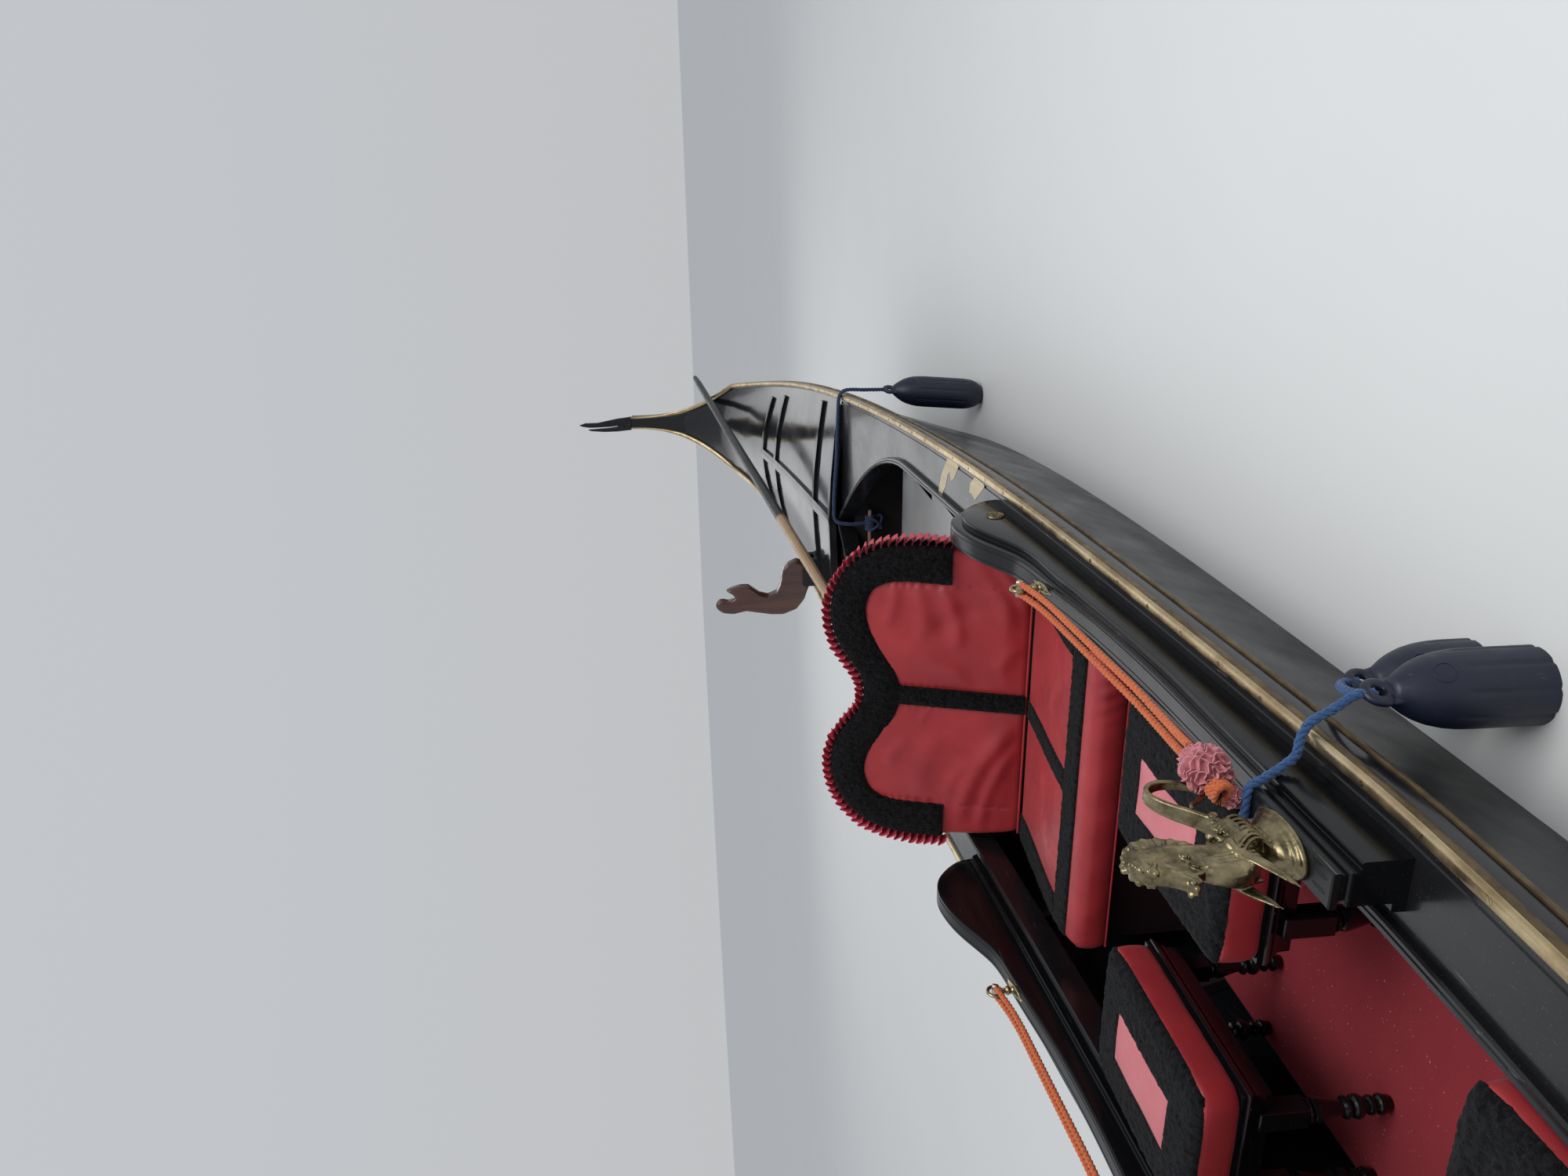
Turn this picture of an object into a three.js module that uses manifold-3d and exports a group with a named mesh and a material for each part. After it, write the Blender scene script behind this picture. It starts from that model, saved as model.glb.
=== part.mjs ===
// A Venetian rowing boat, afloat: hull and decks, seat and stools, fittings, ropes and fenders.
// Millimetres. +X to the bow, +Y to port, +Z up. The origin is amidships on the centreline, at the waterline.
import * as THREE from 'three';
import { mergeVertices } from 'three/addons/utils/BufferGeometryUtils.js';
import Module from 'manifold-3d';

const wasm = await Module();
wasm.setup();

// Driving dimensions of the hull
const HALF_BEAM = 705;
const FREEBOARD = 376;
const DRAUGHT = 210;
const LOWEST = 600;          // x where the gunwale is lowest
const UPSWEEP = 5116;        // |x| where the ends turn up
const PLANK = 22;
const DECK = 20;
const DECK_DEPTH = 13;       // deck top below the top of the brass strip
const STRAKE = 30;
const GAP = 0.3;             // between pieces that touch

// Driving dimensions of the fittings
const WELL_FRONT = -1800;
const WELL_BACK = -3100;
const BRIDGE_FRONT = -1350;
const COCKPIT_FRONT = 2150;
const COCKPIT_HALF = 505;
const RAIL_Y = 601;
const FLOOR_Z = -2;
const CARPET_TOP = 3;
const SEAT = { back: -1140, front: -540, under: 281, top: 378, sink: 39, halfBack: 462, halfFront: 436 };
const LEAN = 0.338;          // angle of the seat back, radians
const STOOL = { long: 498, wide: 357, under: 337, top: 428 };
const FENDER = { radius: 75, length: 440 };

const STATION_X = [-UPSWEEP, -4900, -4650, -4450, -4200, -3900, -3650, -3400, WELL_BACK, -3000, -2900, -2750,
  -2600, -2450, -2300, -2100, WELL_FRONT, BRIDGE_FRONT, -900, -450, 0, 450, 900, 1400, COCKPIT_FRONT, 2600, 3100,
  3600, 4000, 4400, 4800, UPSWEEP];
const TIP_STEPS = [0.15, 0.3, 0.45, 0.6, 0.8, 1];
const POST_STEP = 0.45;      // the solid end posts start here

const metal = (color, roughness) => new THREE.MeshStandardMaterial({ color, roughness, metalness: 1 });
const matte = (color, roughness) => new THREE.MeshStandardMaterial({ color, roughness, metalness: 0 });
const FINISH = {
  lacquer: matte(0x0c0c0e, 0.22),
  inside: matte(0x1b1214, 0.5),
  brass: metal(0x8f7d55, 0.38),
  steel: metal(0xb9bcc0, 0.25),
  iron: metal(0x1a1a1d, 0.45),
  vinyl: matte(0x8e1f26, 0.4),
  plush: matte(0x111114, 0.95),
  carpet: matte(0x7c1722, 0.95),
  walnut: matte(0x5b2c1b, 0.35),
  ash: matte(0xb58a58, 0.5),
  orange: matte(0xb34a28, 0.85),
  blue: matte(0x1c2f58, 0.85),
  pompom: matte(0xa8626b, 0.9),
  fender: matte(0x10131f, 0.4),
};

const gondola = new THREE.Group();

function add(name, geometry, material) {
  const mesh = new THREE.Mesh(geometry, material);
  mesh.name = name;
  gondola.add(mesh);
  return mesh;
}

// Closed meshes from rings, boxes and turned profiles
function flatten(ring) {
  const normal = new THREE.Vector3();
  ring.forEach((p, i) => {
    const q = ring[(i + 1) % ring.length];
    normal.x += (p[1] - q[1]) * (p[2] + q[2]);
    normal.y += (p[2] - q[2]) * (p[0] + q[0]);
    normal.z += (p[0] - q[0]) * (p[1] + q[1]);
  });
  const size = [Math.abs(normal.x), Math.abs(normal.y), Math.abs(normal.z)];
  const drop = size.indexOf(Math.max(...size));
  return ring.map((p) => new THREE.Vector2(...p.filter((_, axis) => axis !== drop)));
}

function capFaces(ring) {
  const flat = flatten(ring);
  const sense = Math.sign(THREE.ShapeUtils.area(flat));
  return THREE.ShapeUtils.triangulateShape(flat, []).map(([a, b, c]) => {
    const turn = Math.sign(THREE.ShapeUtils.area([flat[a], flat[b], flat[c]]));
    return turn === sense ? [a, b, c] : [a, c, b];
  });
}

function volume(points, faces) {
  const [a, b, c] = [new THREE.Vector3(), new THREE.Vector3(), new THREE.Vector3()];
  return faces.reduce((sum, face) => {
    [a, b, c].forEach((corner, i) => corner.fromArray(points[face[i]]));
    return sum + a.dot(b.cross(c)) / 6;
  }, 0);
}

function loft(rings) {
  const count = rings[0].length;
  const points = rings.flat();
  const last = points.length - count;
  const faces = [];
  for (let start = 0; start < last; start += count) {
    for (let i = 0; i < count; i++) {
      const a = start + i;
      const b = start + (i + 1) % count;
      faces.push([a, b, b + count], [a, b + count, a + count]);
    }
  }
  capFaces(rings[0]).forEach(([a, b, c]) => faces.push([a, c, b]));
  capFaces(rings[rings.length - 1]).forEach(([a, b, c]) => faces.push([a + last, b + last, c + last]));
  const outward = volume(points, faces) > 0 ? faces : faces.map(([a, b, c]) => [a, c, b]);
  const geometry = new THREE.BufferGeometry();
  geometry.setAttribute('position', new THREE.Float32BufferAttribute(points.flat(), 3));
  geometry.setIndex(outward.flat());
  return geometry;
}

function box([x0, x1], [y0, y1], [z0, z1]) {
  return new THREE.BoxGeometry(x1 - x0, y1 - y0, z1 - z0)
    .translate((x0 + x1) / 2, (y0 + y1) / 2, (z0 + z1) / 2);
}

function turned(profile, sides) {
  return new THREE.LatheGeometry(profile.map((p) => new THREE.Vector2(...p)), sides).rotateX(Math.PI / 2);
}

// A round rod through [x, y, z, radius across, radius up] points, with an optional flattening of its width
function rod(points, sides, flat = 1) {
  const at = points.map((p) => new THREE.Vector3(p[0], p[1], p[2]));
  return loft(at.map((centre, i) => {
    const ahead = at[Math.min(i + 1, at.length - 1)].clone().sub(at[Math.max(i - 1, 0)]).normalize();
    const across = new THREE.Vector3(0, 1, 0).addScaledVector(ahead, -ahead.y).normalize();
    const up = new THREE.Vector3().crossVectors(ahead, across);
    return Array.from({ length: sides }, (_, k) => {
      const angle = 2 * Math.PI * k / sides;
      return centre.clone()
        .addScaledVector(across, points[i][3] * flat * Math.cos(angle))
        .addScaledVector(up, (points[i][4] ?? points[i][3]) * Math.sin(angle)).toArray();
    });
  }));
}

function rope(points, radius, steps) {
  const corners = 8;
  const ring = Array.from({ length: corners }, (_, k) => new THREE.Vector2(
    radius * Math.cos(2 * Math.PI * k / corners), radius * Math.sin(2 * Math.PI * k / corners)));
  const path = new THREE.CatmullRomCurve3(points.map((p) => new THREE.Vector3(...p)), false, 'centripetal');
  return new THREE.ExtrudeGeometry(new THREE.Shape(ring), { steps, extrudePath: path });
}

// Booleans
function solid(geometry) {
  const bare = geometry.clone();
  bare.deleteAttribute('normal');
  bare.deleteAttribute('uv');
  const merged = mergeVertices(bare, 1e-3);
  return new wasm.Manifold(new wasm.Mesh({
    numProp: 3,
    vertProperties: new Float32Array(merged.attributes.position.array),
    triVerts: new Uint32Array(merged.index.array),
  }));
}

function meshOf(manifold) {
  const { vertProperties, triVerts } = manifold.getMesh();
  const geometry = new THREE.BufferGeometry();
  geometry.setAttribute('position', new THREE.BufferAttribute(vertProperties, 3));
  geometry.setIndex(new THREE.BufferAttribute(triVerts, 1));
  return geometry;
}

const join = (...pieces) => meshOf(pieces.map(solid).reduce((a, b) => a.add(b)));
const cut = (piece, ...tools) => meshOf(tools.map(solid).reduce((a, b) => a.subtract(b), solid(piece)));

// Hull lines, with x measured from amidships
const half = (x) => HALF_BEAM - 259 * (Math.max(0, Math.abs(x) - 700) / 3500) ** 2.2;
const keel = (x) => -DRAUGHT + 930 * (Math.abs(x) / 5100) ** 4;
const keelHalf = (x) => 36 + 460 * (1 - Math.min(1, Math.abs(x) / 5150) ** 2.4);

function sheer(x) {
  const run = Math.abs(x - LOWEST) / 1000;
  return x < LOWEST
    ? FREEBOARD + 44 * run ** 1.35 + 160 * (run / 5.7) ** 16
    : FREEBOARD + 50 * run ** 1.35 + 160 * (run / 4.5) ** 12;
}

function station(x) {
  return { x, z: sheer(x), half: half(x), keelX: x, keelZ: keel(x), keelHalf: keelHalf(x) };
}

// The upswept ends: at step 0 they leave the hull, at step 1 they reach the tip
function tipStation(end, step) {
  const from = station(end * UPSWEEP);
  const rise = end < 0 ? 620 : 255;
  const reach = end < 0 ? 234 : 184;
  const stemRise = end < 0 ? 880 : 400;
  const left = 1 - step;
  return {
    x: end * (UPSWEEP + reach * (1 - left ** 2.1)),
    z: from.z + rise * step,
    half: 39 + (from.half - 39) * left ** 2.3,
    keelX: end * (UPSWEEP + 304 * (1 - left ** 2)),
    keelZ: from.keelZ + stemRise * step,
    keelHalf: 16 + (from.keelHalf - 16) * left,
  };
}

const HULL = [
  ...TIP_STEPS.map((step) => tipStation(-1, step)).reverse(),
  ...STATION_X.map(station),
  ...TIP_STEPS.map((step) => tipStation(1, step)),
];

// The station at x, on the straight chord between its neighbours, so that pieces that touch share their lines
function stationOn(x) {
  const next = HULL.findIndex((s, i) => i > 0 && s.x >= x);
  const [a, b] = [HULL[next - 1], HULL[next]];
  const t = (x - a.x) / (b.x - a.x);
  return Object.fromEntries(Object.keys(a).map((key) => [key, a[key] + t * (b[key] - a[key])]));
}

function run(from, to) {
  const between = HULL.filter((s) => s.x > from + 1 && s.x < to - 1);
  return [stationOn(from), ...between, stationOn(to)];
}

const AFT_POST = tipStation(-1, POST_STEP).x;
const FORE_POST = tipStation(1, POST_STEP).x;
const shellRun = HULL.filter((s) => s.x >= AFT_POST - 1 && s.x <= FORE_POST + 1);

const strakeWidth = (s) => Math.min(STRAKE, s.half * 0.35);
const sheerSide = (s) => s.half - strakeWidth(s);
const keelDepth = (s) => Math.hypot(s.keelX - s.x, s.z - s.keelZ);

// A point in a station's own plane: y across, depth down from the gunwale along the line to the keel
function at(s, y, depth) {
  const length = keelDepth(s);
  return [s.x + (s.keelX - s.x) / length * depth, y, s.z + (s.keelZ - s.z) / length * depth];
}

function outerSide(s, depth) {
  const top = DECK_DEPTH + DECK + GAP;
  const share = (depth - top) / (keelDepth(s) - DECK - 5 - GAP - top);
  return sheerSide(s) + (s.keelHalf - sheerSide(s)) * share;
}

const deckZ = (x) => stationOn(x).z - DECK_DEPTH;

// Hull shell: bottom, two sides and the solid end posts
const BOTTOM = 25;
const SCARF = 1400;          // x where the two lengths of each side meet

function sidePlanks(sign, from, to) {
  const top = DECK_DEPTH + DECK + GAP;
  return loft(run(from, to).map((s) => {
    const foot = keelDepth(s) - BOTTOM - GAP;
    return [
      at(s, sign * sheerSide(s), top),
      at(s, sign * s.keelHalf, foot),
      at(s, sign * (s.keelHalf - PLANK), foot),
      at(s, sign * (sheerSide(s) - PLANK), top),
    ];
  }));
}

function bottomPlanks() {
  return loft(shellRun.map((s) => {
    const depth = keelDepth(s);
    return [
      at(s, s.keelHalf, depth - BOTTOM), at(s, s.keelHalf - 12, depth),
      at(s, 12 - s.keelHalf, depth), at(s, -s.keelHalf, depth - BOTTOM),
    ];
  }));
}

function endPost(end) {
  const steps = [POST_STEP, ...TIP_STEPS.filter((step) => step > POST_STEP)];
  return loft(steps.map((step) => {
    const s = tipStation(end, step);
    if (step === POST_STEP) s.x += end * GAP;
    if (step === POST_STEP) s.keelX += end * GAP;
    return [
      at(s, sheerSide(s), DECK_DEPTH), at(s, s.keelHalf, keelDepth(s)),
      at(s, -s.keelHalf, keelDepth(s)), at(s, -sheerSide(s), DECK_DEPTH),
    ];
  }));
}

add('bottom_planking', bottomPlanks(), FINISH.lacquer);
for (const [side, sign] of [['port', 1], ['starboard', -1]]) {
  add(`side_${side}_aft`, sidePlanks(sign, AFT_POST, SCARF), FINISH.lacquer);
  add(`side_${side}_fore`, sidePlanks(sign, SCARF + GAP, FORE_POST), FINISH.lacquer);
}
add('stern_post', endPost(-1), FINISH.lacquer);
add('stem_post', endPost(1), FINISH.lacquer);

// Gunwales: a black strake outside the side planks, with a brass strip on top
function gunwaleStrake(sign) {
  return loft(HULL.map((s) => {
    const inner = sheerSide(s) + GAP;
    const outer = s.half;
    const away = Math.min(strakeWidth(s) * 0.4, 2 + Math.max(0, Math.abs(s.x) - 4600) / 60);
    return [
      at(s, sign * inner, DECK_DEPTH + GAP), at(s, sign * outer, DECK_DEPTH + GAP),
      at(s, sign * outer, 42), at(s, sign * (outer - strakeWidth(s) * 0.25), 58),
      at(s, sign * (inner + away), 58), at(s, sign * inner, DECK_DEPTH + DECK),
    ];
  }));
}

function brassStrip(sign) {
  return loft(HULL.map((s) => {
    const width = Math.min(26, s.half * 0.3);
    const inner = s.half - width;
    return [
      at(s, sign * inner, DECK_DEPTH), at(s, sign * (inner + 2), 5), at(s, sign * (inner + width * 0.35), 0),
      at(s, sign * (inner + width * 0.7), 0), at(s, sign * (s.half - 2), 5), at(s, sign * s.half, DECK_DEPTH),
    ];
  }));
}

for (const [side, sign] of [['port', 1], ['starboard', -1]]) {
  add(`gunwale_strake_${side}`, gunwaleStrake(sign), FINISH.lacquer);
  add(`brass_strip_${side}`, brassStrip(sign), FINISH.brass);
}

// End decks, cambered to a ridge
const camber = (s) => Math.min(45 + 30 * Math.max(0, Math.abs(s.x) - 3100) / 1100, s.half * 0.25);

function endDeck(from, to, raise = 0, thick = DECK) {
  const shares = [1, 0.7, 0.35, 0];
  return loft(run(from, to).map((s) => {
    const edge = sheerSide(s) - (Math.abs(s.x) > 4850 ? 4 : 0);
    const rise = (share) => camber(s) * (1 - share ** 1.6);
    const across = [...shares.map((share) => -share), ...shares.slice(0, -1).reverse()];
    const top = across.map((share) => at(s, share * edge, DECK_DEPTH - raise - rise(Math.abs(share))));
    const under = across.map((share) => at(s, share * edge, DECK_DEPTH + thick - rise(Math.abs(share))));
    return [...top, ...under.reverse()];
  }));
}

add('aft_deck', endDeck(AFT_POST, WELL_BACK), FINISH.lacquer);
add('fore_deck', endDeck(COCKPIT_FRONT, FORE_POST), FINISH.lacquer);

// Side decks, whose inner edge rounds in to the centreline at the back of the well
function innerEdge(x) {
  const back = Math.max(0, -2100 - x) / 1000;
  return Math.max(8, COCKPIT_HALF * (1 - Math.min(1, back) ** 1.8));
}

function sideDeck(sign) {
  const rim = 24;
  return loft(run(WELL_BACK + GAP, COCKPIT_FRONT - GAP).map((s) => {
    const inner = innerEdge(s.x);
    const outer = sheerSide(s);
    return [
      at(s, sign * outer, DECK_DEPTH), at(s, sign * (inner + rim), DECK_DEPTH),
      at(s, sign * (inner + rim), DECK_DEPTH - 18), at(s, sign * inner, DECK_DEPTH - 18),
      at(s, sign * inner, DECK_DEPTH + 60), at(s, sign * (inner + 14), DECK_DEPTH + 60),
      at(s, sign * (inner + 14), DECK_DEPTH + DECK), at(s, sign * outer, DECK_DEPTH + DECK),
    ];
  }));
}

add('side_deck_port', sideDeck(1), FINISH.lacquer);
add('side_deck_starboard', sideDeck(-1), FINISH.lacquer);

// Boards across the well: a bridge behind the seat, and a lower thwart
const bridgeZ = deckZ(WELL_FRONT) - 1;
add('bridge_deck', box([WELL_FRONT, BRIDGE_FRONT], [GAP - COCKPIT_HALF, COCKPIT_HALF - GAP], [bridgeZ - 22, bridgeZ]),
  FINISH.lacquer);
add('well_thwart', box([-2300, WELL_FRONT - GAP], [-470, 470], [bridgeZ - 22, bridgeZ - 2]), FINISH.lacquer);

// Bulkheads
function bulkhead(x, thick, topDepth) {
  return loft([x, x + thick].map((place) => {
    const s = stationOn(place);
    const other = stationOn(2 * x + thick - place);
    const foot = keelDepth(s) - BOTTOM - GAP - Math.max(0, (other.keelZ - s.keelZ));
    const clear = 1.5 + PLANK;
    const top = DECK_DEPTH + DECK + GAP + topDepth;
    return [
      at(s, outerSide(s, top) - clear, top), at(s, s.keelHalf - clear, foot),
      at(s, clear - s.keelHalf, foot), at(s, clear - outerSide(s, top), top),
    ];
  }));
}

add('bulkhead_aft', bulkhead(WELL_BACK + 4, 20, 40), FINISH.inside);
add('bulkhead_fore', bulkhead(COCKPIT_FRONT - 26, 20, 62), FINISH.inside);
add('bulkhead_seat', bulkhead(BRIDGE_FRONT + 4, 20, 62), FINISH.inside);

// Floor: frames on a keelson, boards and carpet
function floorFrames() {
  const ribs = [-900, -450, 0, 450, 900, 1350, 1800].map((x) => {
    const thick = 24;
    return loft([x - thick / 2, x + thick / 2].map((place) => {
      const s = stationOn(place);
      const tight = stationOn(x + Math.sign(x) * thick / 2);
      const z = (depth) => at(tight, 0, depth)[2];
      const top = DECK_DEPTH + DECK + 4;
      const foot = keelDepth(tight) - BOTTOM - GAP;
      const clear = PLANK + 3;
      const wide = outerSide(tight, top) - clear;
      const narrow = tight.keelHalf - clear;
      const arm = 32;
      const floor = outerSide(tight, tight.z - FLOOR_Z + 20) - clear - arm;
      return [
        [place, wide, z(top)], [place, narrow, z(foot)], [place, -narrow, z(foot)], [place, -wide, z(top)],
        [place, arm - wide, z(top)], [place, -floor, FLOOR_Z - 20 - GAP], [place, floor, FLOOR_Z - 20 - GAP],
        [place, wide - arm, z(top)],
      ];
    }));
  });
  return join(box([-912, 1812], [-40, 40], [-150, FLOOR_Z - 20 - GAP]), ...ribs);
}

add('floor_frames', floorFrames(), FINISH.inside);
// A flat sheet on the floor, as wide as the frames leave room for
function floorSheet(from, to, widest, [low, high]) {
  return loft(run(from, to).map((s) => {
    const room = outerSide(s, s.z - FLOOR_Z + 20) - PLANK - 40;
    const wide = Math.min(widest, room - (470 - widest));
    return [[s.x, wide, low], [s.x, wide, high], [s.x, -wide, high], [s.x, -wide, low]];
  }));
}

add('floor_boards', floorSheet(-1240, 2110, 470, [FLOOR_Z - 20, FLOOR_Z]), FINISH.inside);
add('carpet', floorSheet(SEAT.front, 2105, 459, [FLOOR_Z + GAP, CARPET_TOP]), FINISH.carpet);

// Moulded rails on the side decks: a block at the front, an arm rest at the back
const RAIL_HEIGHTS = [   // x, height above the deck
  [-1281, 24], [-1262, 70], [-1235, 108], [-1195, 140], [-1140, 163], [-1079, 171], [-1010, 166], [BRIDGE_FRONT + 450, 148],
  [-800, 128], [-680, 120], [-450, 120], [0, 120], [450, 120], [664, 120],
];

function sideRail(sign) {
  return loft(RAIL_HEIGHTS.map(([x, height]) => {
    const foot = deckZ(x) + GAP;
    const step = Math.min(62, height * 0.55);
    const ring = [[44, 0], [44, step], [26, step], [26, height - 8], [18, height], [-18, height], [-26, height - 8],
      [-26, step], [-44, step], [-44, 0]];
    return ring.map(([y, z]) => [x, sign * (RAIL_Y + y), foot + z]);
  }));
}

const RAIL_TOP = (x) => {
  const next = RAIL_HEIGHTS.findIndex(([place]) => place >= x);
  const [a, b] = [RAIL_HEIGHTS[next - 1], RAIL_HEIGHTS[next]];
  const t = (x - a[0]) / (b[0] - a[0]);
  return deckZ(a[0]) + a[1] + GAP + t * (deckZ(b[0]) + b[1] - deckZ(a[0]) - a[1]);
};

// A brass sea horse with spread wings and a looped tail, on an oval base
function seaHorse() {
  const base = new THREE.CylinderGeometry(34, 42, 22, 20).rotateX(Math.PI / 2).scale(2.05, 1, 1).translate(0, 0, 11);
  const body = rod([[-20, 0, 14, 20], [0, 0, 44, 26], [16, 0, 80, 25], [20, 0, 112, 18], [14, 0, 150, 15],
    [12, 0, 190, 17], [22, 0, 225, 20], [34, 0, 248, 14]], 10, 0.7);
  const head = rod([[14, 0, 236, 15], [44, 0, 232, 13], [66, 0, 214, 9]], 8, 0.8);
  const mane = rod([[-14, 0, 130, 6], [-18, 0, 180, 13], [-10, 0, 230, 14], [6, 0, 262, 8]], 8, 0.35);
  const tail = rod([[-10, 0, 60, 17], [-38, 0, 92, 15], [-62, 0, 130, 12], [-88, 0, 170, 10], [-116, 0, 190, 9],
    [-134, 0, 178, 8], [-138, 0, 150, 8], [-124, 0, 122, 8], [-104, 0, 104, 9], [-76, 0, 96, 9], [-40, 0, 88, 10]],
  8, 0.7);
  const wings = [-1, 1].map((sign) => rod([[8, sign * 10, 96, 12], [40, sign * 26, 74, 18], [76, sign * 38, 52, 14],
    [104, sign * 44, 34, 5]], 8, 0.3));
  return join(base, body, head, mane, tail, ...wings);
}

function ropeEye(x, sign) {
  const ring = new THREE.TorusGeometry(17, 4.5, 8, 20).translate(0, 0, 0).rotateX(Math.PI / 2);
  const shank = rod([[0, 0, -26, 7], [0, 0, -15, 6]], 8);
  return join(ring, shank).translate(x, sign * RAIL_Y, RAIL_TOP(x) + 26.5 + GAP);
}

const HORSE_X = 524;
const EYE_X = -594;
for (const [side, sign] of [['port', 1], ['starboard', -1]]) {
  add(`side_rail_${side}`, sideRail(sign), FINISH.lacquer);
  add(`sea_horse_${side}`, seaHorse().translate(HORSE_X, sign * RAIL_Y, RAIL_TOP(HORSE_X + 86) + GAP), FINISH.brass);
  add(`rope_eye_${side}`, ropeEye(EYE_X, sign), FINISH.brass);
}

// Seat: base box, cushion, leaning back board and two-lobed back cushion
function seatCushion() {
  const rows = [[SEAT.back + 3, SEAT.halfBack, SEAT.top - SEAT.sink], [-700, 442, SEAT.top], [SEAT.front, SEAT.halfFront, SEAT.top - 8]];
  return loft(rows.map(([x, wide, top]) => [
    [x, wide, SEAT.under + GAP], [x, wide, top - 16], [x, wide - 16, top],
    [x, 16 - wide, top], [x, -wide, top - 16], [x, -wide, SEAT.under + GAP],
  ]));
}

// Outline of the back in its own plane: y across, up along the lean
function backOutline(inset, foot) {
  const lobe = { y: 262, up: 380, wide: 238 - inset, tall: 240 - inset };
  const shape = new THREE.Shape();
  shape.moveTo(-462 + inset, foot);
  shape.lineTo(462 - inset, foot);
  shape.lineTo(lobe.y + lobe.wide, lobe.up - 120);
  shape.absellipse(lobe.y, lobe.up, lobe.wide, lobe.tall, 0, Math.PI * 0.62, false);
  shape.lineTo(0, 512 - inset);
  shape.absellipse(-lobe.y, lobe.up, lobe.wide, lobe.tall, Math.PI * 0.38, Math.PI, false);
  shape.lineTo(-lobe.y - lobe.wide, lobe.up - 120);
  shape.lineTo(-462 + inset, foot);
  return shape;
}

function leaning(inset, foot, from, thick) {
  const panel = new THREE.ExtrudeGeometry(backOutline(inset, foot), { depth: thick, bevelEnabled: false, curveSegments: 10 });
  panel.translate(0, 0, from);
  const basis = new THREE.Matrix4().makeBasis(new THREE.Vector3(0, 1, 0),
    new THREE.Vector3(-Math.sin(LEAN), 0, Math.cos(LEAN)), new THREE.Vector3(Math.cos(LEAN), 0, Math.sin(LEAN)));
  return panel.applyMatrix4(basis.setPosition(SEAT.back, 0, SEAT.top - SEAT.sink));
}

add('seat_base', box([-1232, SEAT.front - 36], [-430, 430], [FLOOR_Z + GAP, SEAT.under]), FINISH.inside);
add('seat_cushion', seatCushion(), FINISH.vinyl);
add('seat_back_cushion', leaning(0, 0, -70, 70), FINISH.vinyl);
add('seat_back_board', leaning(14, -27.7, -95, 25 - GAP), FINISH.inside);

// Stools: black frames on turned legs, with loose cushions
const STOOLS = [['starboard_aft', 44, -324], ['port_aft', 20, 321], ['port_fore', 1150, 321], ['starboard_fore', 1150, -321]];

function stoolFrame() {
  const [dx, dy] = [STOOL.long / 2 - 40, STOOL.wide / 2 - 46];
  const leg = turned([[0, 0], [16, 0], [22, 26], [13, 44], [20, 58], [13, 76], [24, 110], [24, 190], [15, 214],
    [24, 232], [24, 300], [0, 300]], 10);
  const legs = [[-1, -1], [-1, 1], [1, -1], [1, 1]].map(([i, j]) => leg.clone().translate(i * dx, j * dy, 0));
  const apron = box([-STOOL.long / 2 + 18, STOOL.long / 2 - 18], [-STOOL.wide / 2 + 18, STOOL.wide / 2 - 18], [262, 318]);
  const lip = box([-STOOL.long / 2 + 4, STOOL.long / 2 - 4], [-STOOL.wide / 2 + 4, STOOL.wide / 2 - 4],
    [314, STOOL.under - CARPET_TOP - GAP]);
  return join(apron, lip, ...legs);
}

function stoolCushion() {
  const [x, y, soft] = [STOOL.long / 2, STOOL.wide / 2, 22];
  const rows = [[GAP, 0], [STOOL.top - STOOL.under - 14, 0], [STOOL.top - STOOL.under, 16]];
  return loft(rows.map(([z, inset]) => {
    const [a, b] = [x - inset, y - inset];
    return [[a, b - soft], [a - soft, b], [soft - a, b], [-a, b - soft], [-a, soft - b], [soft - a, -b],
      [a - soft, -b], [a, soft - b]].map(([px, py]) => [px, py, z]);
  }));
}

for (const [place, x, y] of STOOLS) {
  add(`stool_frame_${place}`, stoolFrame().translate(x, y, CARPET_TOP + GAP), FINISH.lacquer);
  add(`stool_cushion_${place}`, stoolCushion().translate(x, y, STOOL.under), FINISH.vinyl);
}

// Rails across the decks, cut to sit on them
function deckRails() {
  const strip = (x0, x1, y0, y1, z0, z1) => box([x0, x1], [y0, y1], [z0, z1]);
  const lift = (x, over) => [deckZ(x) - 30, deckZ(x) + camber(stationOn(x)) + over];
  const bars = [
    strip(WELL_BACK - 34, WELL_BACK - GAP, -540, 540, ...lift(WELL_BACK, 14)),
    strip(-3424, -3396, -500, 500, ...lift(-3400, 12)),
    strip(-4216, -4184, -372, 372, ...lift(-4200, 20)),
    strip(-4466, -4434, -318, 318, ...lift(-4450, 16)),
    strip(-4450, WELL_BACK - 10, -26, 26, deckZ(-3400) - 30, deckZ(-4450) + 120),
  ];
  const above = endDeck(AFT_POST, WELL_BACK, 14, 400);
  const deck = endDeck(AFT_POST, WELL_BACK, GAP, 400);
  const all = bars.map(solid).reduce((a, b) => a.add(b));
  return meshOf(all.intersect(solid(above)).subtract(solid(deck)));
}

add('aft_deck_rails', deckRails(), FINISH.lacquer);

// Rowing gear: the carved crutch in its block, and the stowed oar
const FORCOLA = { x: -3500, thick: 56, y: -396 };

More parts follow.
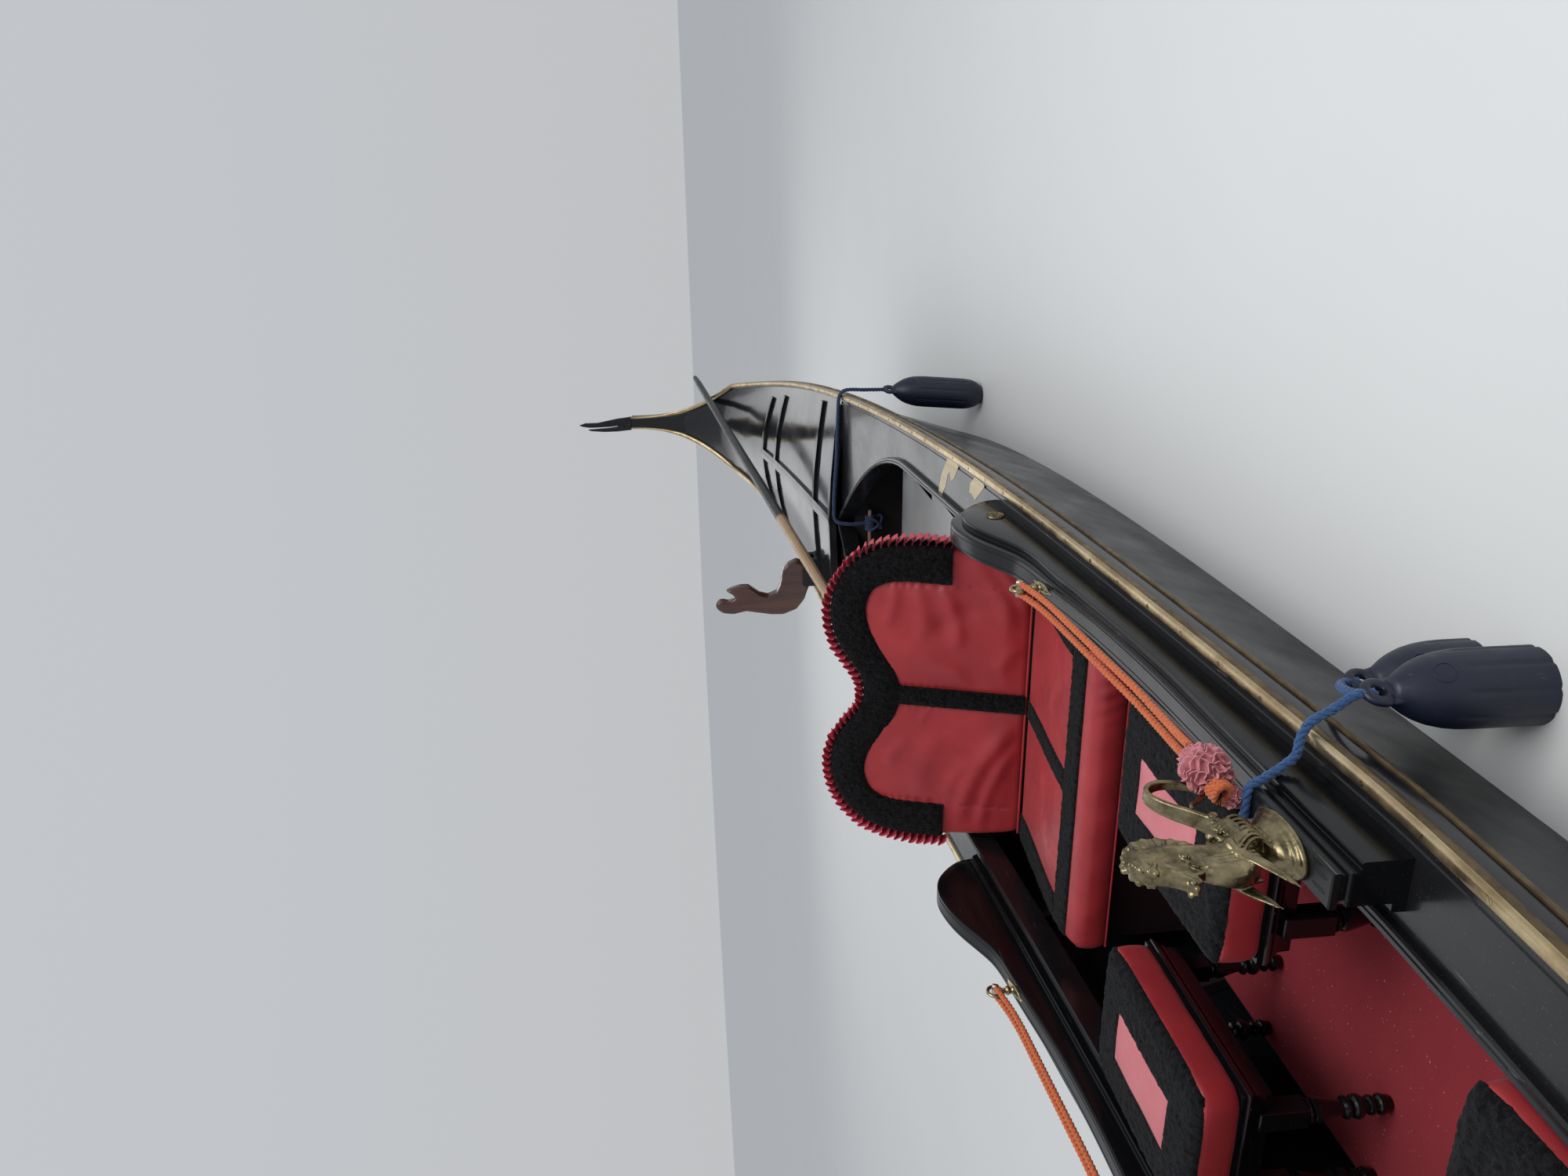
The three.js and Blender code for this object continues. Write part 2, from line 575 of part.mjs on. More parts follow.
function forcola() {
  const outline = [[-390, 700], [-470, 742], [-556, 826], [-600, 905], [-560, 930], [-520, 935], [-508, 965],
    [-520, 1010], [-556, 1060], [-566, 1120], [-536, 1199], [-519, 1150], [-488, 1082], [-470, 1144], [-440, 1090],
    [-436, 1037], [-462, 990], [-470, 950], [-448, 918], [-400, 888], [-356, 860], [-309, 788], [-340, 740], [-350, 700]];
  const shape = new THREE.Shape(outline.map(([y, z]) => new THREE.Vector2(y, z)));
  const plate = new THREE.ExtrudeGeometry(shape, { depth: FORCOLA.thick, bevelEnabled: false });
  const basis = new THREE.Matrix4().makeBasis(new THREE.Vector3(0, 1, 0), new THREE.Vector3(0, 0, 1), new THREE.Vector3(1, 0, 0));
  return plate.applyMatrix4(basis.setPosition(FORCOLA.x - FORCOLA.thick / 2, 0, 0));
}

function forcolaBlock() {
  const block = box([FORCOLA.x - 60, FORCOLA.x + 60], [-440, -300], [640, 760]);
  const slot = forcola();
  const wide = box([FORCOLA.x - FORCOLA.thick / 2 - GAP, FORCOLA.x + FORCOLA.thick / 2 + GAP], [-480, -260], [699.7, 800]);
  return cut(block, endDeck(AFT_POST, WELL_BACK, GAP, 400), wide);
}

add('forcola', forcola(), FINISH.walnut);
add('forcola_block', forcolaBlock(), FINISH.lacquer);

const OAR_TIP = [-1420, -440, 512.7];
const OAR_END = [-5531.6, 241.7, 1204.2];
function oar() {
  const along = (t) => OAR_TIP.map((value, i) => value + t * (OAR_END[i] - value));
  return rod([[...along(0), 58, 7], [...along(0.02), 66, 8], [...along(0.18), 60, 10], [...along(0.33), 27, 22],
    [...along(0.36), 25, 25], [...along(0.6), 25, 25], [...along(0.97), 20, 20], [...along(1), 15, 15]], 12);
}

add('oar', oar(), FINISH.ash);

// The forked iron that stands on the stern's tip, in its own plane: across, up
const STERN_FORK = [
  [40, 0], [27, 89], [-2, 222], [-5, 300], [-17, 337], [-26, 311], [-31, 270], [-30, 236], [-25, 147], [-17, 85],
  [-23, 85], [-33, 147], [-40, 222], [-45, 280], [-53, 260], [-57, 174], [-53, 89], [-42, 0],
];

function sternIron() {
  const tip = tipStation(-1, 1);
  const thick = 20;
  const along = new THREE.Vector3(tip.x - tip.keelX, 0, tip.z - tip.keelZ).normalize();
  const across = new THREE.Vector3(0, 1, 0);
  const up = new THREE.Vector3().crossVectors(along, across);
  const shape = new THREE.Shape(STERN_FORK.map((p) => new THREE.Vector2(...p)));
  const plate = new THREE.ExtrudeGeometry(shape, { depth: thick, bevelEnabled: false }).translate(0, GAP, -thick);
  const basis = new THREE.Matrix4().makeBasis(across, up, along);
  return plate.applyMatrix4(basis.setPosition(tip.x, 0, tip.z));
}

add('stern_iron', sternIron(), FINISH.iron);

// The comb-shaped bow iron, cut from plate, on the front edge of the stem
function bowIron() {
  const stem = [0, ...TIP_STEPS].map((step) => tipStation(1, step)).map((s) => [s.keelX + 0.5, s.keelZ - GAP]);
  const teeth = [];
  for (let i = 0; i < 6; i++) {
    const z = 1090 + i * 62;
    teeth.push([5425, z], [5530, z + 6], [5530, z + 40], [5425, z + 44]);
  }
  const outline = [...stem, [5392, 1330], [5300, 1340], [5300, 1376], [5394, 1384], [5396, 1470], [5360, 1500],
    [5360, 1560], [5420, 1620], [5500, 1640], [5560, 1600], [5566, 1540], [5520, 1490], [5430, 1470],
    ...teeth.reverse(), [5440, 1060], [5420, 960], [5372, 860], [5292, 770], [5200, 716], [5119, 704]];
  const shape = new THREE.Shape(outline.map(([x, z]) => new THREE.Vector2(x, z)));
  const plate = new THREE.ExtrudeGeometry(shape, { depth: 14, bevelEnabled: false });
  return plate.rotateX(Math.PI / 2).translate(0, 7, 0);
}

add('bow_iron', bowIron(), FINISH.steel);

// Orange ropes from the eyes to the sea horses, with a ruffled pompom on each pair
const POMPOM = { x: 350, y: 30, z: 42.4, long: 60, wide: 44 };

function pompom(sign) {
  return new THREE.IcosahedronGeometry(1, 2).scale(POMPOM.long, POMPOM.wide, POMPOM.wide)
    .translate(POMPOM.x, sign * (RAIL_Y + POMPOM.y), RAIL_TOP(POMPOM.x) + POMPOM.z);
}

function orangeRope(sign, offset, reach) {
  const top = (x, over, shift = 0) => [x, sign * (RAIL_Y + offset + shift), RAIL_TOP(x) + over];
  return rope([top(EYE_X - 4, 26), top(-545, 17), top(-490, 11), top(-430, 8.5), top(-340, 8.5), top(-150, 8.5), top(0, 8.5),
    top(80, 10), top(170, 20, 8), top(230, 31, 18), top(POMPOM.x - reach, POMPOM.z, POMPOM.y)], 8, 36);
}

for (const [side, sign] of [['port', 1], ['starboard', -1]]) {
  add(`pompom_${side}`, pompom(sign), FINISH.pompom);
  add(`orange_rope_${side}_inner`, orangeRope(sign, -12.9, 57.6), FINISH.orange);
  add(`orange_rope_${side}_outer`, orangeRope(sign, 12.9, 60), FINISH.orange);
}

// Fenders on blue ropes, over the port gunwale
function fender() {
  const { radius, length } = FENDER;
  return turned([[0, -length], [radius * 0.45, -length], [radius * 0.85, -length * 0.93], [radius, -length * 0.8],
    [radius, -length * 0.2], [radius * 0.8, -length * 0.08], [radius * 0.3, 0], [0, 0]], 16);
}

// place, top of the body, and the foot of the body
const FENDERS = [
  ['aft', [-3060, 612, 419], [-3060, 572, -20]],
  ['fore', [375, 768, 272], [375, 762, -168]],
  ['mid', [230, 716, 205], [230, 713, -235]],
];

function hungFender(top, foot) {
  const down = new THREE.Vector3().subVectors(new THREE.Vector3(...foot), new THREE.Vector3(...top)).normalize();
  const turn = new THREE.Quaternion().setFromUnitVectors(new THREE.Vector3(0, 0, -1), down);
  return fender().applyQuaternion(turn).translate(...top);
}

for (const [place, top, foot] of FENDERS) {
  add(`fender_${place}`, hungFender(top, foot), FINISH.fender);
}

// The pin behind the well that holds the aft fender's rope
const PIN = { x: WELL_BACK + 68, z: 500 };

function mooringPin() {
  const bar = new THREE.CylinderGeometry(9, 9, 170, 12).translate(PIN.x, -15, PIN.z);
  const bracket = box([WELL_BACK + 24 + GAP, PIN.x], [-35, 5], [PIN.z - 7, PIN.z + 7]);
  return join(bar, bracket);
}

add('mooring_pin', mooringPin(), FINISH.walnut);

const gunwaleTop = (x) => stationOn(x).z;
const ROPE = 7;
const aftLine = [[PIN.x, 8, PIN.z + 9.4], [PIN.x + 4, 8, 600], [-3040, 24, gunwaleTop(-3060) + 26],
  [-3056, 90, gunwaleTop(-3060) + 32], [-3062, 300, gunwaleTop(-3060) + 20], [-3064, 520, gunwaleTop(-3060) + 13],
  [-3060, 590, gunwaleTop(-3060) + 7.8], [-3060, 613, gunwaleTop(-3060) - 12], [-3060, 614, 520], [-3060, 612, 420]];
add('fender_rope_aft', rope(aftLine, ROPE, 44), FINISH.blue);

const railTop = RAIL_TOP(400);
const foreLine = [[424, 580, railTop + 8], [423, 610, railTop + 8], [418, 633, railTop + 3], [413, 643, railTop - 20],
  [407, 657, railTop - 50], [396, 674, deckZ(384) + 38], [379, 700, gunwaleTop(379) + 10], [375, 722, gunwaleTop(375) - 6],
  [375, 742, 342], [375, 766, 306], [375, 768, 273]];
add('fender_rope_fore', rope(foreLine, ROPE, 28), FINISH.blue);
const midLine = [[368.4, 764, 296], [332, 751, 292], [290, 736, 276], [242, 720, 246], [230, 716, 222], [230, 716, 206]];
add('fender_rope_mid', rope(midLine, ROPE, 12), FINISH.blue);

export default gondola;
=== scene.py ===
"""A rowing gondola afloat: its looks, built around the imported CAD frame.

Metres, +X to the bow, +Y to port, +Z up, origin amidships on the centreline at the waterline.
"""
import random
from math import cos, exp, hypot, pi, radians, sin

import bmesh
import bpy
from mathutils import Matrix, Vector, noise


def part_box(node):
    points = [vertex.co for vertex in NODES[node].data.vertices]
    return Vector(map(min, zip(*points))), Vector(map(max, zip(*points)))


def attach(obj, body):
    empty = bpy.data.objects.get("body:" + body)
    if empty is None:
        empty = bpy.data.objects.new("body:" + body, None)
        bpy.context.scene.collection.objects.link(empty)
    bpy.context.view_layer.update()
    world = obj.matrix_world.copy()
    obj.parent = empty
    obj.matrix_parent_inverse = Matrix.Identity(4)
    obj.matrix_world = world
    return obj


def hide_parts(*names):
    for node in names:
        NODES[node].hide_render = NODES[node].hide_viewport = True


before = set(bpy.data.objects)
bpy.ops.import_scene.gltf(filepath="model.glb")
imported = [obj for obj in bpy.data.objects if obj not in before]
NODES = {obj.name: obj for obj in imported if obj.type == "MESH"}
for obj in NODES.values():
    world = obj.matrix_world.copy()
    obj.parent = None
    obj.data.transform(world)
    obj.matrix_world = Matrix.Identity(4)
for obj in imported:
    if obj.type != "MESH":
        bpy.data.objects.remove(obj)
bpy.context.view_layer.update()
SCENE = bpy.context.scene
SIDES = (("port", 1), ("starboard", -1))

# Camera: the photograph lies on its side, so its top edge points to the boat's port
CAMERA_AT = (1.975462, 1.607917, 1.395931)
CAMERA_LOOK = (-0.931181, -0.352627, -0.092499)
CAMERA_UP = (-0.34932, 0.935651, -0.050335)
CAMERA_LENS = 26.694


def make_camera():
    data = bpy.data.cameras.new("camera")
    data.sensor_fit = "HORIZONTAL"
    data.sensor_width = 36
    data.lens = CAMERA_LENS
    data.clip_start = 0.02
    data.clip_end = 300
    back = -Vector(CAMERA_LOOK).normalized()
    up = Vector(CAMERA_UP)
    up = (up - up.dot(back) * back).normalized()
    turn = Matrix((up.cross(back), up, back)).transposed()
    camera = bpy.data.objects.new("camera", data)
    camera.matrix_world = Matrix.Translation(CAMERA_AT) @ turn.to_4x4()
    SCENE.collection.objects.link(camera)
    SCENE.camera = camera


make_camera()


# Lines and numbers
def lerp(a, b, t):
    return a + (b - a) * t


def clamp(t):
    return min(1, max(0, t))


def smooth(t):
    t = clamp(t)
    return t * t * (3 - 2 * t)


def between(value, table):
    """Linear interpolation in a table of (position, amount) rows."""
    for (x0, y0), (x1, y1) in zip(table, table[1:]):
        if value <= x1:
            return lerp(y0, y1, clamp((value - x0) / (x1 - x0)))
    return table[-1][1]


def circle(count):
    """The cosine and sine of even steps around a circle."""
    return [(cos(2 * pi * k / count), sin(2 * pi * k / count)) for k in range(count)]


def line_length(points):
    return sum((b - a).length for a, b in zip(points, points[1:]))


def resample(points, spacing):
    """The same line in even steps of about that spacing."""
    length = line_length(points)
    count = max(2, round(length / spacing))
    out, walked, index = [points[0].copy()], 0.0, 0
    for k in range(1, count):
        goal = length * k / count
        while walked + (points[index + 1] - points[index]).length < goal:
            walked += (points[index + 1] - points[index]).length
            index += 1
        a, b = points[index], points[index + 1]
        out.append(a.lerp(b, (goal - walked) / (b - a).length))
    return out + [points[-1].copy()]


def curve(points, spacing):
    """A centripetal Catmull-Rom line through the points, in even steps of about that spacing."""
    p = [Vector(q) for q in points]
    p = [p[0] * 2 - p[1]] + p + [p[-1] * 2 - p[-2]]
    fine = []
    for a, b, c, d in zip(p, p[1:], p[2:], p[3:]):
        t1 = (b - a).length ** 0.5
        t2 = t1 + (c - b).length ** 0.5
        t3 = t2 + (d - c).length ** 0.5
        for k in range(24):
            t = lerp(t1, t2, k / 24)
            a1 = a.lerp(b, t / t1)
            a2 = b.lerp(c, (t - t1) / (t2 - t1))
            a3 = c.lerp(d, (t - t2) / (t3 - t2))
            b1 = a1.lerp(a2, t / t2)
            b2 = a2.lerp(a3, (t - t1) / (t3 - t1))
            fine.append(b1.lerp(b2, (t - t1) / (t2 - t1)))
    return resample(fine + [p[-2]], spacing)


def frames(points, up=(0, 0, 1)):
    """For each point of a line: itself and two directions across it that twist as little as can be."""
    up, side, out = Vector(up), None, []
    for i, p in enumerate(points):
        ahead = (points[min(i + 1, len(points) - 1)] - points[max(i - 1, 0)]).normalized()
        side = side - side.dot(ahead) * ahead if out else up.cross(ahead)
        if side.length < 1e-6:
            side = Vector((0, 1, 0))
        side.normalize()
        out.append((p, side.copy(), ahead.cross(side)))
    return out


def walk(path, step):
    """Even steps along a path: the way walked, the place and two directions across."""
    line = frames(resample(path, step))
    walked, last = 0.0, line[0][0]
    for p, side, rise in line:
        walked += (p - last).length
        last = p
        yield walked, p, side, rise


def sheet(rows, columns, at):
    """Rows of points from a function of two shares, down the rows and along a row."""
    return [[at(i / rows, k / columns) for k in range(columns + 1)] for i in range(rows + 1)]


class Form:
    """Closed shells that become one piece; a shell's mark picks its material from the piece's looks."""

    def __init__(self):
        self.points, self.faces, self.marks = [], [], []

    def add(self, points, faces, mark=0):
        start = len(self.points)
        self.points += [Vector(p) for p in points]
        self.faces += [[start + i for i in face] for face in faces]
        self.marks += [mark] * len(faces)
        return self

    def loft(self, rings, mark=0, loop=False):
        """A skin through rings of points, with flat ends unless it closes in a loop."""
        count, faces = len(rings[0]), []
        for r in range(len(rings) if loop else len(rings) - 1):
            a, b = r * count, (r + 1) % len(rings) * count
            faces += [[a + i, a + (i + 1) % count, b + (i + 1) % count, b + i] for i in range(count)]
        if not loop:
            faces.append(list(range(count))[::-1])
            faces.append([(len(rings) - 1) * count + i for i in range(count)])
        return self.add([p for ring in rings for p in ring], faces, mark)

    def turned(self, profile, sides, at):
        """An upright turned shape from (radius, height) rows."""
        x, y, z = at
        return self.loft([[(x + r * c, y + r * s, z + h) for c, s in circle(sides)] for r, h in profile])

    def rod(self, points, radius, sides=10, flat=1.0, up=(0, 0, 1)):
        """A round bar along the points; radius is one number or a function of 0 to 1."""
        rings, last = [], len(points) - 1
        for i, (p, side, rise) in enumerate(frames([Vector(q) for q in points], up)):
            r = radius(i / last) if callable(radius) else radius
            rings.append([p + side * (r * flat * c) + rise * (r * s) for c, s in circle(sides)])
        return self.loft(rings)

    def hoop(self, at, radius, tube, steps, flat=1.0):
        """A round ring that stands in the boat's length."""
        rings = []
        for c, s in circle(steps):
            out = Vector((c, 0, s))
            rings.append([at + out * (radius + tube * a) + Vector((0, tube * flat * b, 0))
                          for a, b in circle(12)])
        return self.loft(rings, loop=True)

    def pad(self, front, back):
        """A closed pad from a front sheet and a back sheet of the same rows."""
        rows, count = len(front), len(front[0])
        behind = rows * count
        faces = [[r * count + i, r * count + i + 1, (r + 1) * count + i + 1, (r + 1) * count + i]
                 for r in range(rows - 1) for i in range(count - 1)]
        faces += [[behind + i for i in face[::-1]] for face in faces]
        rim = list(range(count)) + [r * count + count - 1 for r in range(1, rows)]
        rim += [behind - 1 - i for i in range(1, count)] + [r * count for r in range(rows - 2, 0, -1)]
        faces += [[b, a, behind + a, behind + b] for a, b in zip(rim, rim[1:] + rim[:1])]
        return self.add([p for row in front + back for p in row], faces)

    def body(self, name, looks, sharp=40):
        data = bpy.data.meshes.new(name)
        data.from_pydata([tuple(p) for p in self.points], [], self.faces)
        for look in looks if isinstance(looks, list) else [looks]:
            data.materials.append(look)
        data.polygons.foreach_set("material_index", self.marks)
        data.validate()
        shape = bmesh.new()
        shape.from_mesh(data)
        bmesh.ops.recalc_face_normals(shape, faces=shape.faces)
        shape.to_mesh(data)
        shape.free()
        data.shade_smooth()
        data.set_sharp_from_angle(angle=radians(sharp))
        obj = bpy.data.objects.new(name, data)
        SCENE.collection.objects.link(obj)
        return obj

    def piece(self, name, slot, looks, replaces=(), sharp=40):
        return dress(self.body(name, looks, sharp), replaces)

    def fused(self, name, slot, looks, replaces, voxel, rounds):
        """The shells melted into one skin, as a casting is."""
        obj = self.body(name, looks)
        melt = obj.modifiers.new("melt", "REMESH")
        melt.mode, melt.voxel_size, melt.use_smooth_shade = "VOXEL", voxel, True
        soften = obj.modifiers.new("soften", "SMOOTH")
        soften.factor, soften.iterations = 0.5, rounds
        bpy.context.view_layer.update()
        obj.data = bpy.data.meshes.new_from_object(obj.evaluated_get(bpy.context.evaluated_depsgraph_get()))
        obj.modifiers.clear()
        return dress(obj, replaces)


def dress(obj, replaces=()):
    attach(obj, "root")
    if replaces:
        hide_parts(*replaces)
    return obj


# Materials
class Paint:
    """A Principled material and the nodes that vary it. A socket or a plain value may feed each input."""

    def __init__(self, name, color, roughness, **settings):
        self.material = bpy.data.materials.new(name)
        self.material.use_nodes = True
        self.tree = self.material.node_tree
        self.shader = self.tree.nodes["Principled BSDF"]
        self.done(base_color=color, roughness=roughness, **settings)
        self.where = self.node("TexCoord").outputs["Object"]

    def feed(self, socket, value):
        if isinstance(value, bpy.types.NodeSocket):
            self.tree.links.new(value, socket)
        else:
            socket.default_value = (*value, 1) if socket.type == "RGBA" else value

    def fill(self, node, inputs):
        for key, value in inputs.items():
            self.feed(node.inputs[key.replace("_", " ").title().replace("Ior", "IOR")], value)
        return node

    def done(self, **inputs):
        self.fill(self.shader, inputs)
        return self.material

    def node(self, kind, **inputs):
        return self.fill(self.tree.nodes.new("ShaderNode" + kind), inputs)

    def noise(self, scale, detail=4.0, rough=0.55, stretch=None, bend=0.0):
        where = self.node("Mapping", vector=self.where, scale=stretch).outputs[0] if stretch else self.where
        return self.node("TexNoise", vector=where, scale=scale, detail=detail, roughness=rough,
                         distortion=bend).outputs["Fac"]

    def cells(self, scale):
        return self.node("TexVoronoi", vector=self.where, scale=scale).outputs["Distance"]

    def fit(self, value, low, high, to_low=0.0, to_high=1.0):
        return self.node("MapRange", value=value, from_min=low, from_max=high, to_min=to_low,
                         to_max=to_high).outputs["Result"]

    def math(self, operation, a, b):
        node = self.node("Math")
        node.operation = operation
        self.feed(node.inputs[0], a)
        self.feed(node.inputs[1], b)
        return node.outputs["Value"]

    def mix(self, amount, a, b):
        node = self.tree.nodes.new("ShaderNodeMix")
        node.data_type = "RGBA"
        for place, value in ((0, amount), (6, a), (7, b)):
            self.feed(node.inputs[place], value)
        return node.outputs[2]

    def bump(self, height, depth, strength):
        """Adds a relief over the ones that are there."""
        node = self.node("Bump", strength=strength, distance=depth, height=height)
        old = self.shader.inputs["Normal"]
        if old.is_linked:
            self.feed(node.inputs["Normal"], old.links[0].from_socket)
        self.feed(old, node.outputs["Normal"])


def lacquer(name, color, shine, dust, coat):
    """Black boat lacquer: mottled gloss, brush marks, fine scratches and a little dust."""
    paint = Paint(name, color, shine, coat_weight=coat, coat_roughness=0.08,
                  specular_ior_level=0.2 + coat * 0.5)
    cloud = paint.noise(5, 6, 0.6)
    specks = paint.fit(paint.noise(420, 2, 0.5), 0.7, 0.76)
    scratches = paint.fit(paint.noise(60, 3, 0.5, stretch=(0.12, 3.5, 3.5), bend=0.6), 0.7, 0.74)
    dirt = paint.math("MULTIPLY", paint.math("ADD", specks, scratches), dust)
    film = paint.fit(cloud, 0.35, 0.75, 0.0, dust * 0.025)
    paint.bump(paint.noise(11, 3, 0.5, stretch=(0.35, 1, 1)), 0.0012, 0.5)
    return paint.done(base_color=paint.mix(paint.math("ADD", dirt, film), color, (0.16, 0.16, 0.155)),
                      roughness=paint.fit(cloud, 0.3, 0.7, shine * 0.75, shine * 1.6))


def aged_brass(name, bright, dark, rough, scale, wear):
    paint = Paint(name, bright, rough, metallic=1.0)
    tarnish = paint.fit(paint.noise(scale, 6, 0.65), 0.5 - wear, 0.5 + wear)
    paint.bump(paint.noise(scale * 6), 0.0006, 0.6)
    return paint.done(base_color=paint.mix(tarnish, dark, bright),
                      roughness=paint.fit(paint.noise(scale * 2.3), 0.3, 0.7, rough * 0.75, rough * 1.35))


def vinyl(name, color, shade):
    """Satin leathercloth with a fine pebble grain."""
    paint = Paint(name, color, 0.42, specular_ior_level=0.45, sheen_weight=0.08)
    paint.bump(paint.cells(900), 0.00025, 0.5)
    paint.bump(paint.noise(24, 3, 0.5, bend=0.4), 0.0016, 0.35)
    return paint.done(base_color=paint.mix(paint.fit(paint.noise(7), 0.35, 0.7), shade, color),
                      roughness=paint.fit(paint.noise(30, 3), 0.3, 0.7, 0.34, 0.52))


def plush(name, color, tip):
    """Short fur: clumps over a dark ground; the lighter tip colour on the clumps is a painted highlight where
    they catch the light.
    """
    paint = Paint(name, color, 0.95, sheen_weight=0.06, sheen_roughness=0.4, specular_ior_level=0.12)
    clumps = paint.noise(85, 5, 0.7, bend=1.2)
    paint.bump(clumps, 0.006, 0.8)
    paint.bump(paint.noise(520, 3, 0.7), 0.0018, 0.7)
    # the tip colour mixed in on the clumps is a painted highlight
    return paint.done(base_color=paint.mix(paint.fit(clumps, 0.42, 0.72), color, tip))


def carpet_look():
    paint = Paint("carpet", (0.3, 0.03, 0.04), 0.95, sheen_weight=0.03, specular_ior_level=0.2)
    weave = paint.noise(700, 2, 0.8)
    stain = paint.fit(paint.noise(3.2, 5, 0.6), 0.35, 0.75)
    ground = paint.mix(stain, (0.22, 0.017, 0.024), (0.33, 0.03, 0.038))
    crumbs = paint.fit(paint.noise(170, 1, 0.4), 0.77, 0.79)
    woven = paint.mix(paint.fit(weave, 0.3, 0.7), ground, (0.27, 0.03, 0.04))
    paint.bump(weave, 0.0016, 0.9)
    return paint.done(base_color=paint.mix(crumbs, woven, (0.5, 0.35, 0.3)))


def timber(name, light, dark, rough, along, coat=0.1, dark_aft=None):
    """Oiled or varnished wood with its grain along one axis, black behind the place dark_aft."""
    stretch = [1.0, 1.0, 1.0]
    stretch[along] = 0.07
    paint = Paint(name, light, rough, coat_weight=coat, coat_roughness=0.15)
    figure = paint.noise(16, 5, 0.6, stretch=stretch, bend=1.5)
    pores = paint.noise(224, 2, 0.6, stretch=stretch)
    base = paint.mix(paint.fit(figure, 0.3, 0.72), dark, light)
    tone = paint.mix(paint.fit(pores, 0.6, 0.75, 0.0, 0.55), base, dark)
    if dark_aft is not None:
        length = paint.node("SeparateXYZ", vector=paint.where).outputs["X"]
        tone = paint.mix(paint.fit(length, dark_aft, dark_aft + 0.02), (0.016, 0.016, 0.017), tone)
    paint.bump(pores, 0.0005, 0.4)
    return paint.done(base_color=tone, roughness=paint.fit(figure, 0.3, 0.7, rough * 1.25, rough * 0.8))


def fibre(name, color, shade, scale=260):
    paint = Paint(name, color, 0.85, sheen_weight=0.2, sheen_roughness=0.5)
    threads = paint.noise(scale, 3, 0.7)
    paint.bump(threads, 0.0007, 0.8)
    return paint.done(base_color=paint.mix(paint.fit(threads, 0.32, 0.68), shade, color))


def rubber(name, color, scuff):
    paint = Paint(name, color, 0.42, specular_ior_level=0.5)
    smear = paint.noise(6, 6, 0.65, bend=0.8)
    marks = paint.fit(paint.noise(45, 3, 0.6, stretch=(1, 1, 0.35)), 0.66, 0.74)
    worn = paint.math("MAXIMUM", paint.fit(smear, 0.55, 0.8, 0, 0.35), marks)
    paint.bump(paint.noise(60, 3), 0.0006, 0.4)
    return paint.done(base_color=paint.mix(worn, color, scuff),
                      roughness=paint.fit(smear, 0.3, 0.7, 0.34, 0.6))


def metal(name, color, rough):
    paint = Paint(name, color, rough, metallic=1.0)
    brushed = paint.noise(40, 4, 0.6)
    paint.bump(paint.noise(120, 3), 0.0003, 0.5)
    shade = tuple(c * 0.7 for c in color)
    return paint.done(base_color=paint.mix(paint.fit(brushed, 0.3, 0.7), shade, color),
                      roughness=paint.fit(brushed, 0.3, 0.7, rough * 0.7, rough * 1.4))


def plain_floor():
    paint = Paint("pale_floor", (0.7, 0.7, 0.69), 0.7)
    return paint.done(base_color=paint.mix(paint.noise(1.5, 3), (0.69, 0.69, 0.68), (0.72, 0.72, 0.71)))


BLACK = lacquer("black_lacquer", (0.0045, 0.0048, 0.0058), 0.16, 0.35, 0.2)
DECK_BLACK = lacquer("deck_lacquer", (0.0055, 0.006, 0.0075), 0.13, 0.3, 0.25)
DUSTY_BLACK = lacquer("dusty_lacquer", (0.007, 0.007, 0.008), 0.22, 0.9, 0.25)
RAIL_BLACK = lacquer("rail_lacquer", (0.0042, 0.0045, 0.0052), 0.2, 0.25, 0.1)
BLOCK_BLACK = lacquer("worn_lacquer", (0.006, 0.0065, 0.007), 0.32, 0.8, 0.1)
SIDE_BLACK = lacquer("side_lacquer", (0.0042, 0.0048, 0.0068), 0.26, 0.3, 0.05)
INSIDE = timber("dark_inside", (0.02, 0.013, 0.013), (0.009, 0.007, 0.008), 0.45, 0)
STRIP_GOLD = aged_brass("strip_gold", (0.66, 0.53, 0.33), (0.36, 0.26, 0.14), 0.34, 9, 0.16)
# Dull brass: the lower moulding's own dull tone, and painted shade on the band where the strip folds down
# over the outer face
DULL_AND_SHADED_GOLD = aged_brass("dull_and_shaded_gold", (0.24, 0.175, 0.095), (0.085, 0.06, 0.035), 0.45, 12, 0.18)
HORSE_BRASS = aged_brass("cast_brass", (0.36, 0.295, 0.17), (0.085, 0.068, 0.038), 0.32, 30, 0.16)
EYE_BRASS = aged_brass("rubbed_brass", (0.55, 0.46, 0.29), (0.2, 0.16, 0.09), 0.28, 40, 0.2)
PALE_METAL = aged_brass("pale_metal", (0.66, 0.6, 0.48), (0.34, 0.29, 0.2), 0.32, 60, 0.2)
STEEL = metal("polished_steel", (0.62, 0.63, 0.65), 0.2)
IRON = metal("black_iron", (0.035, 0.035, 0.038), 0.4)
RED = vinyl("red_vinyl", (0.41, 0.026, 0.031), (0.32, 0.018, 0.023))
PINK = vinyl("pink_vinyl", (0.6, 0.155, 0.175), (0.54, 0.125, 0.145))
SATIN = vinyl("red_satin", (0.62, 0.05, 0.095), (0.46, 0.026, 0.058))
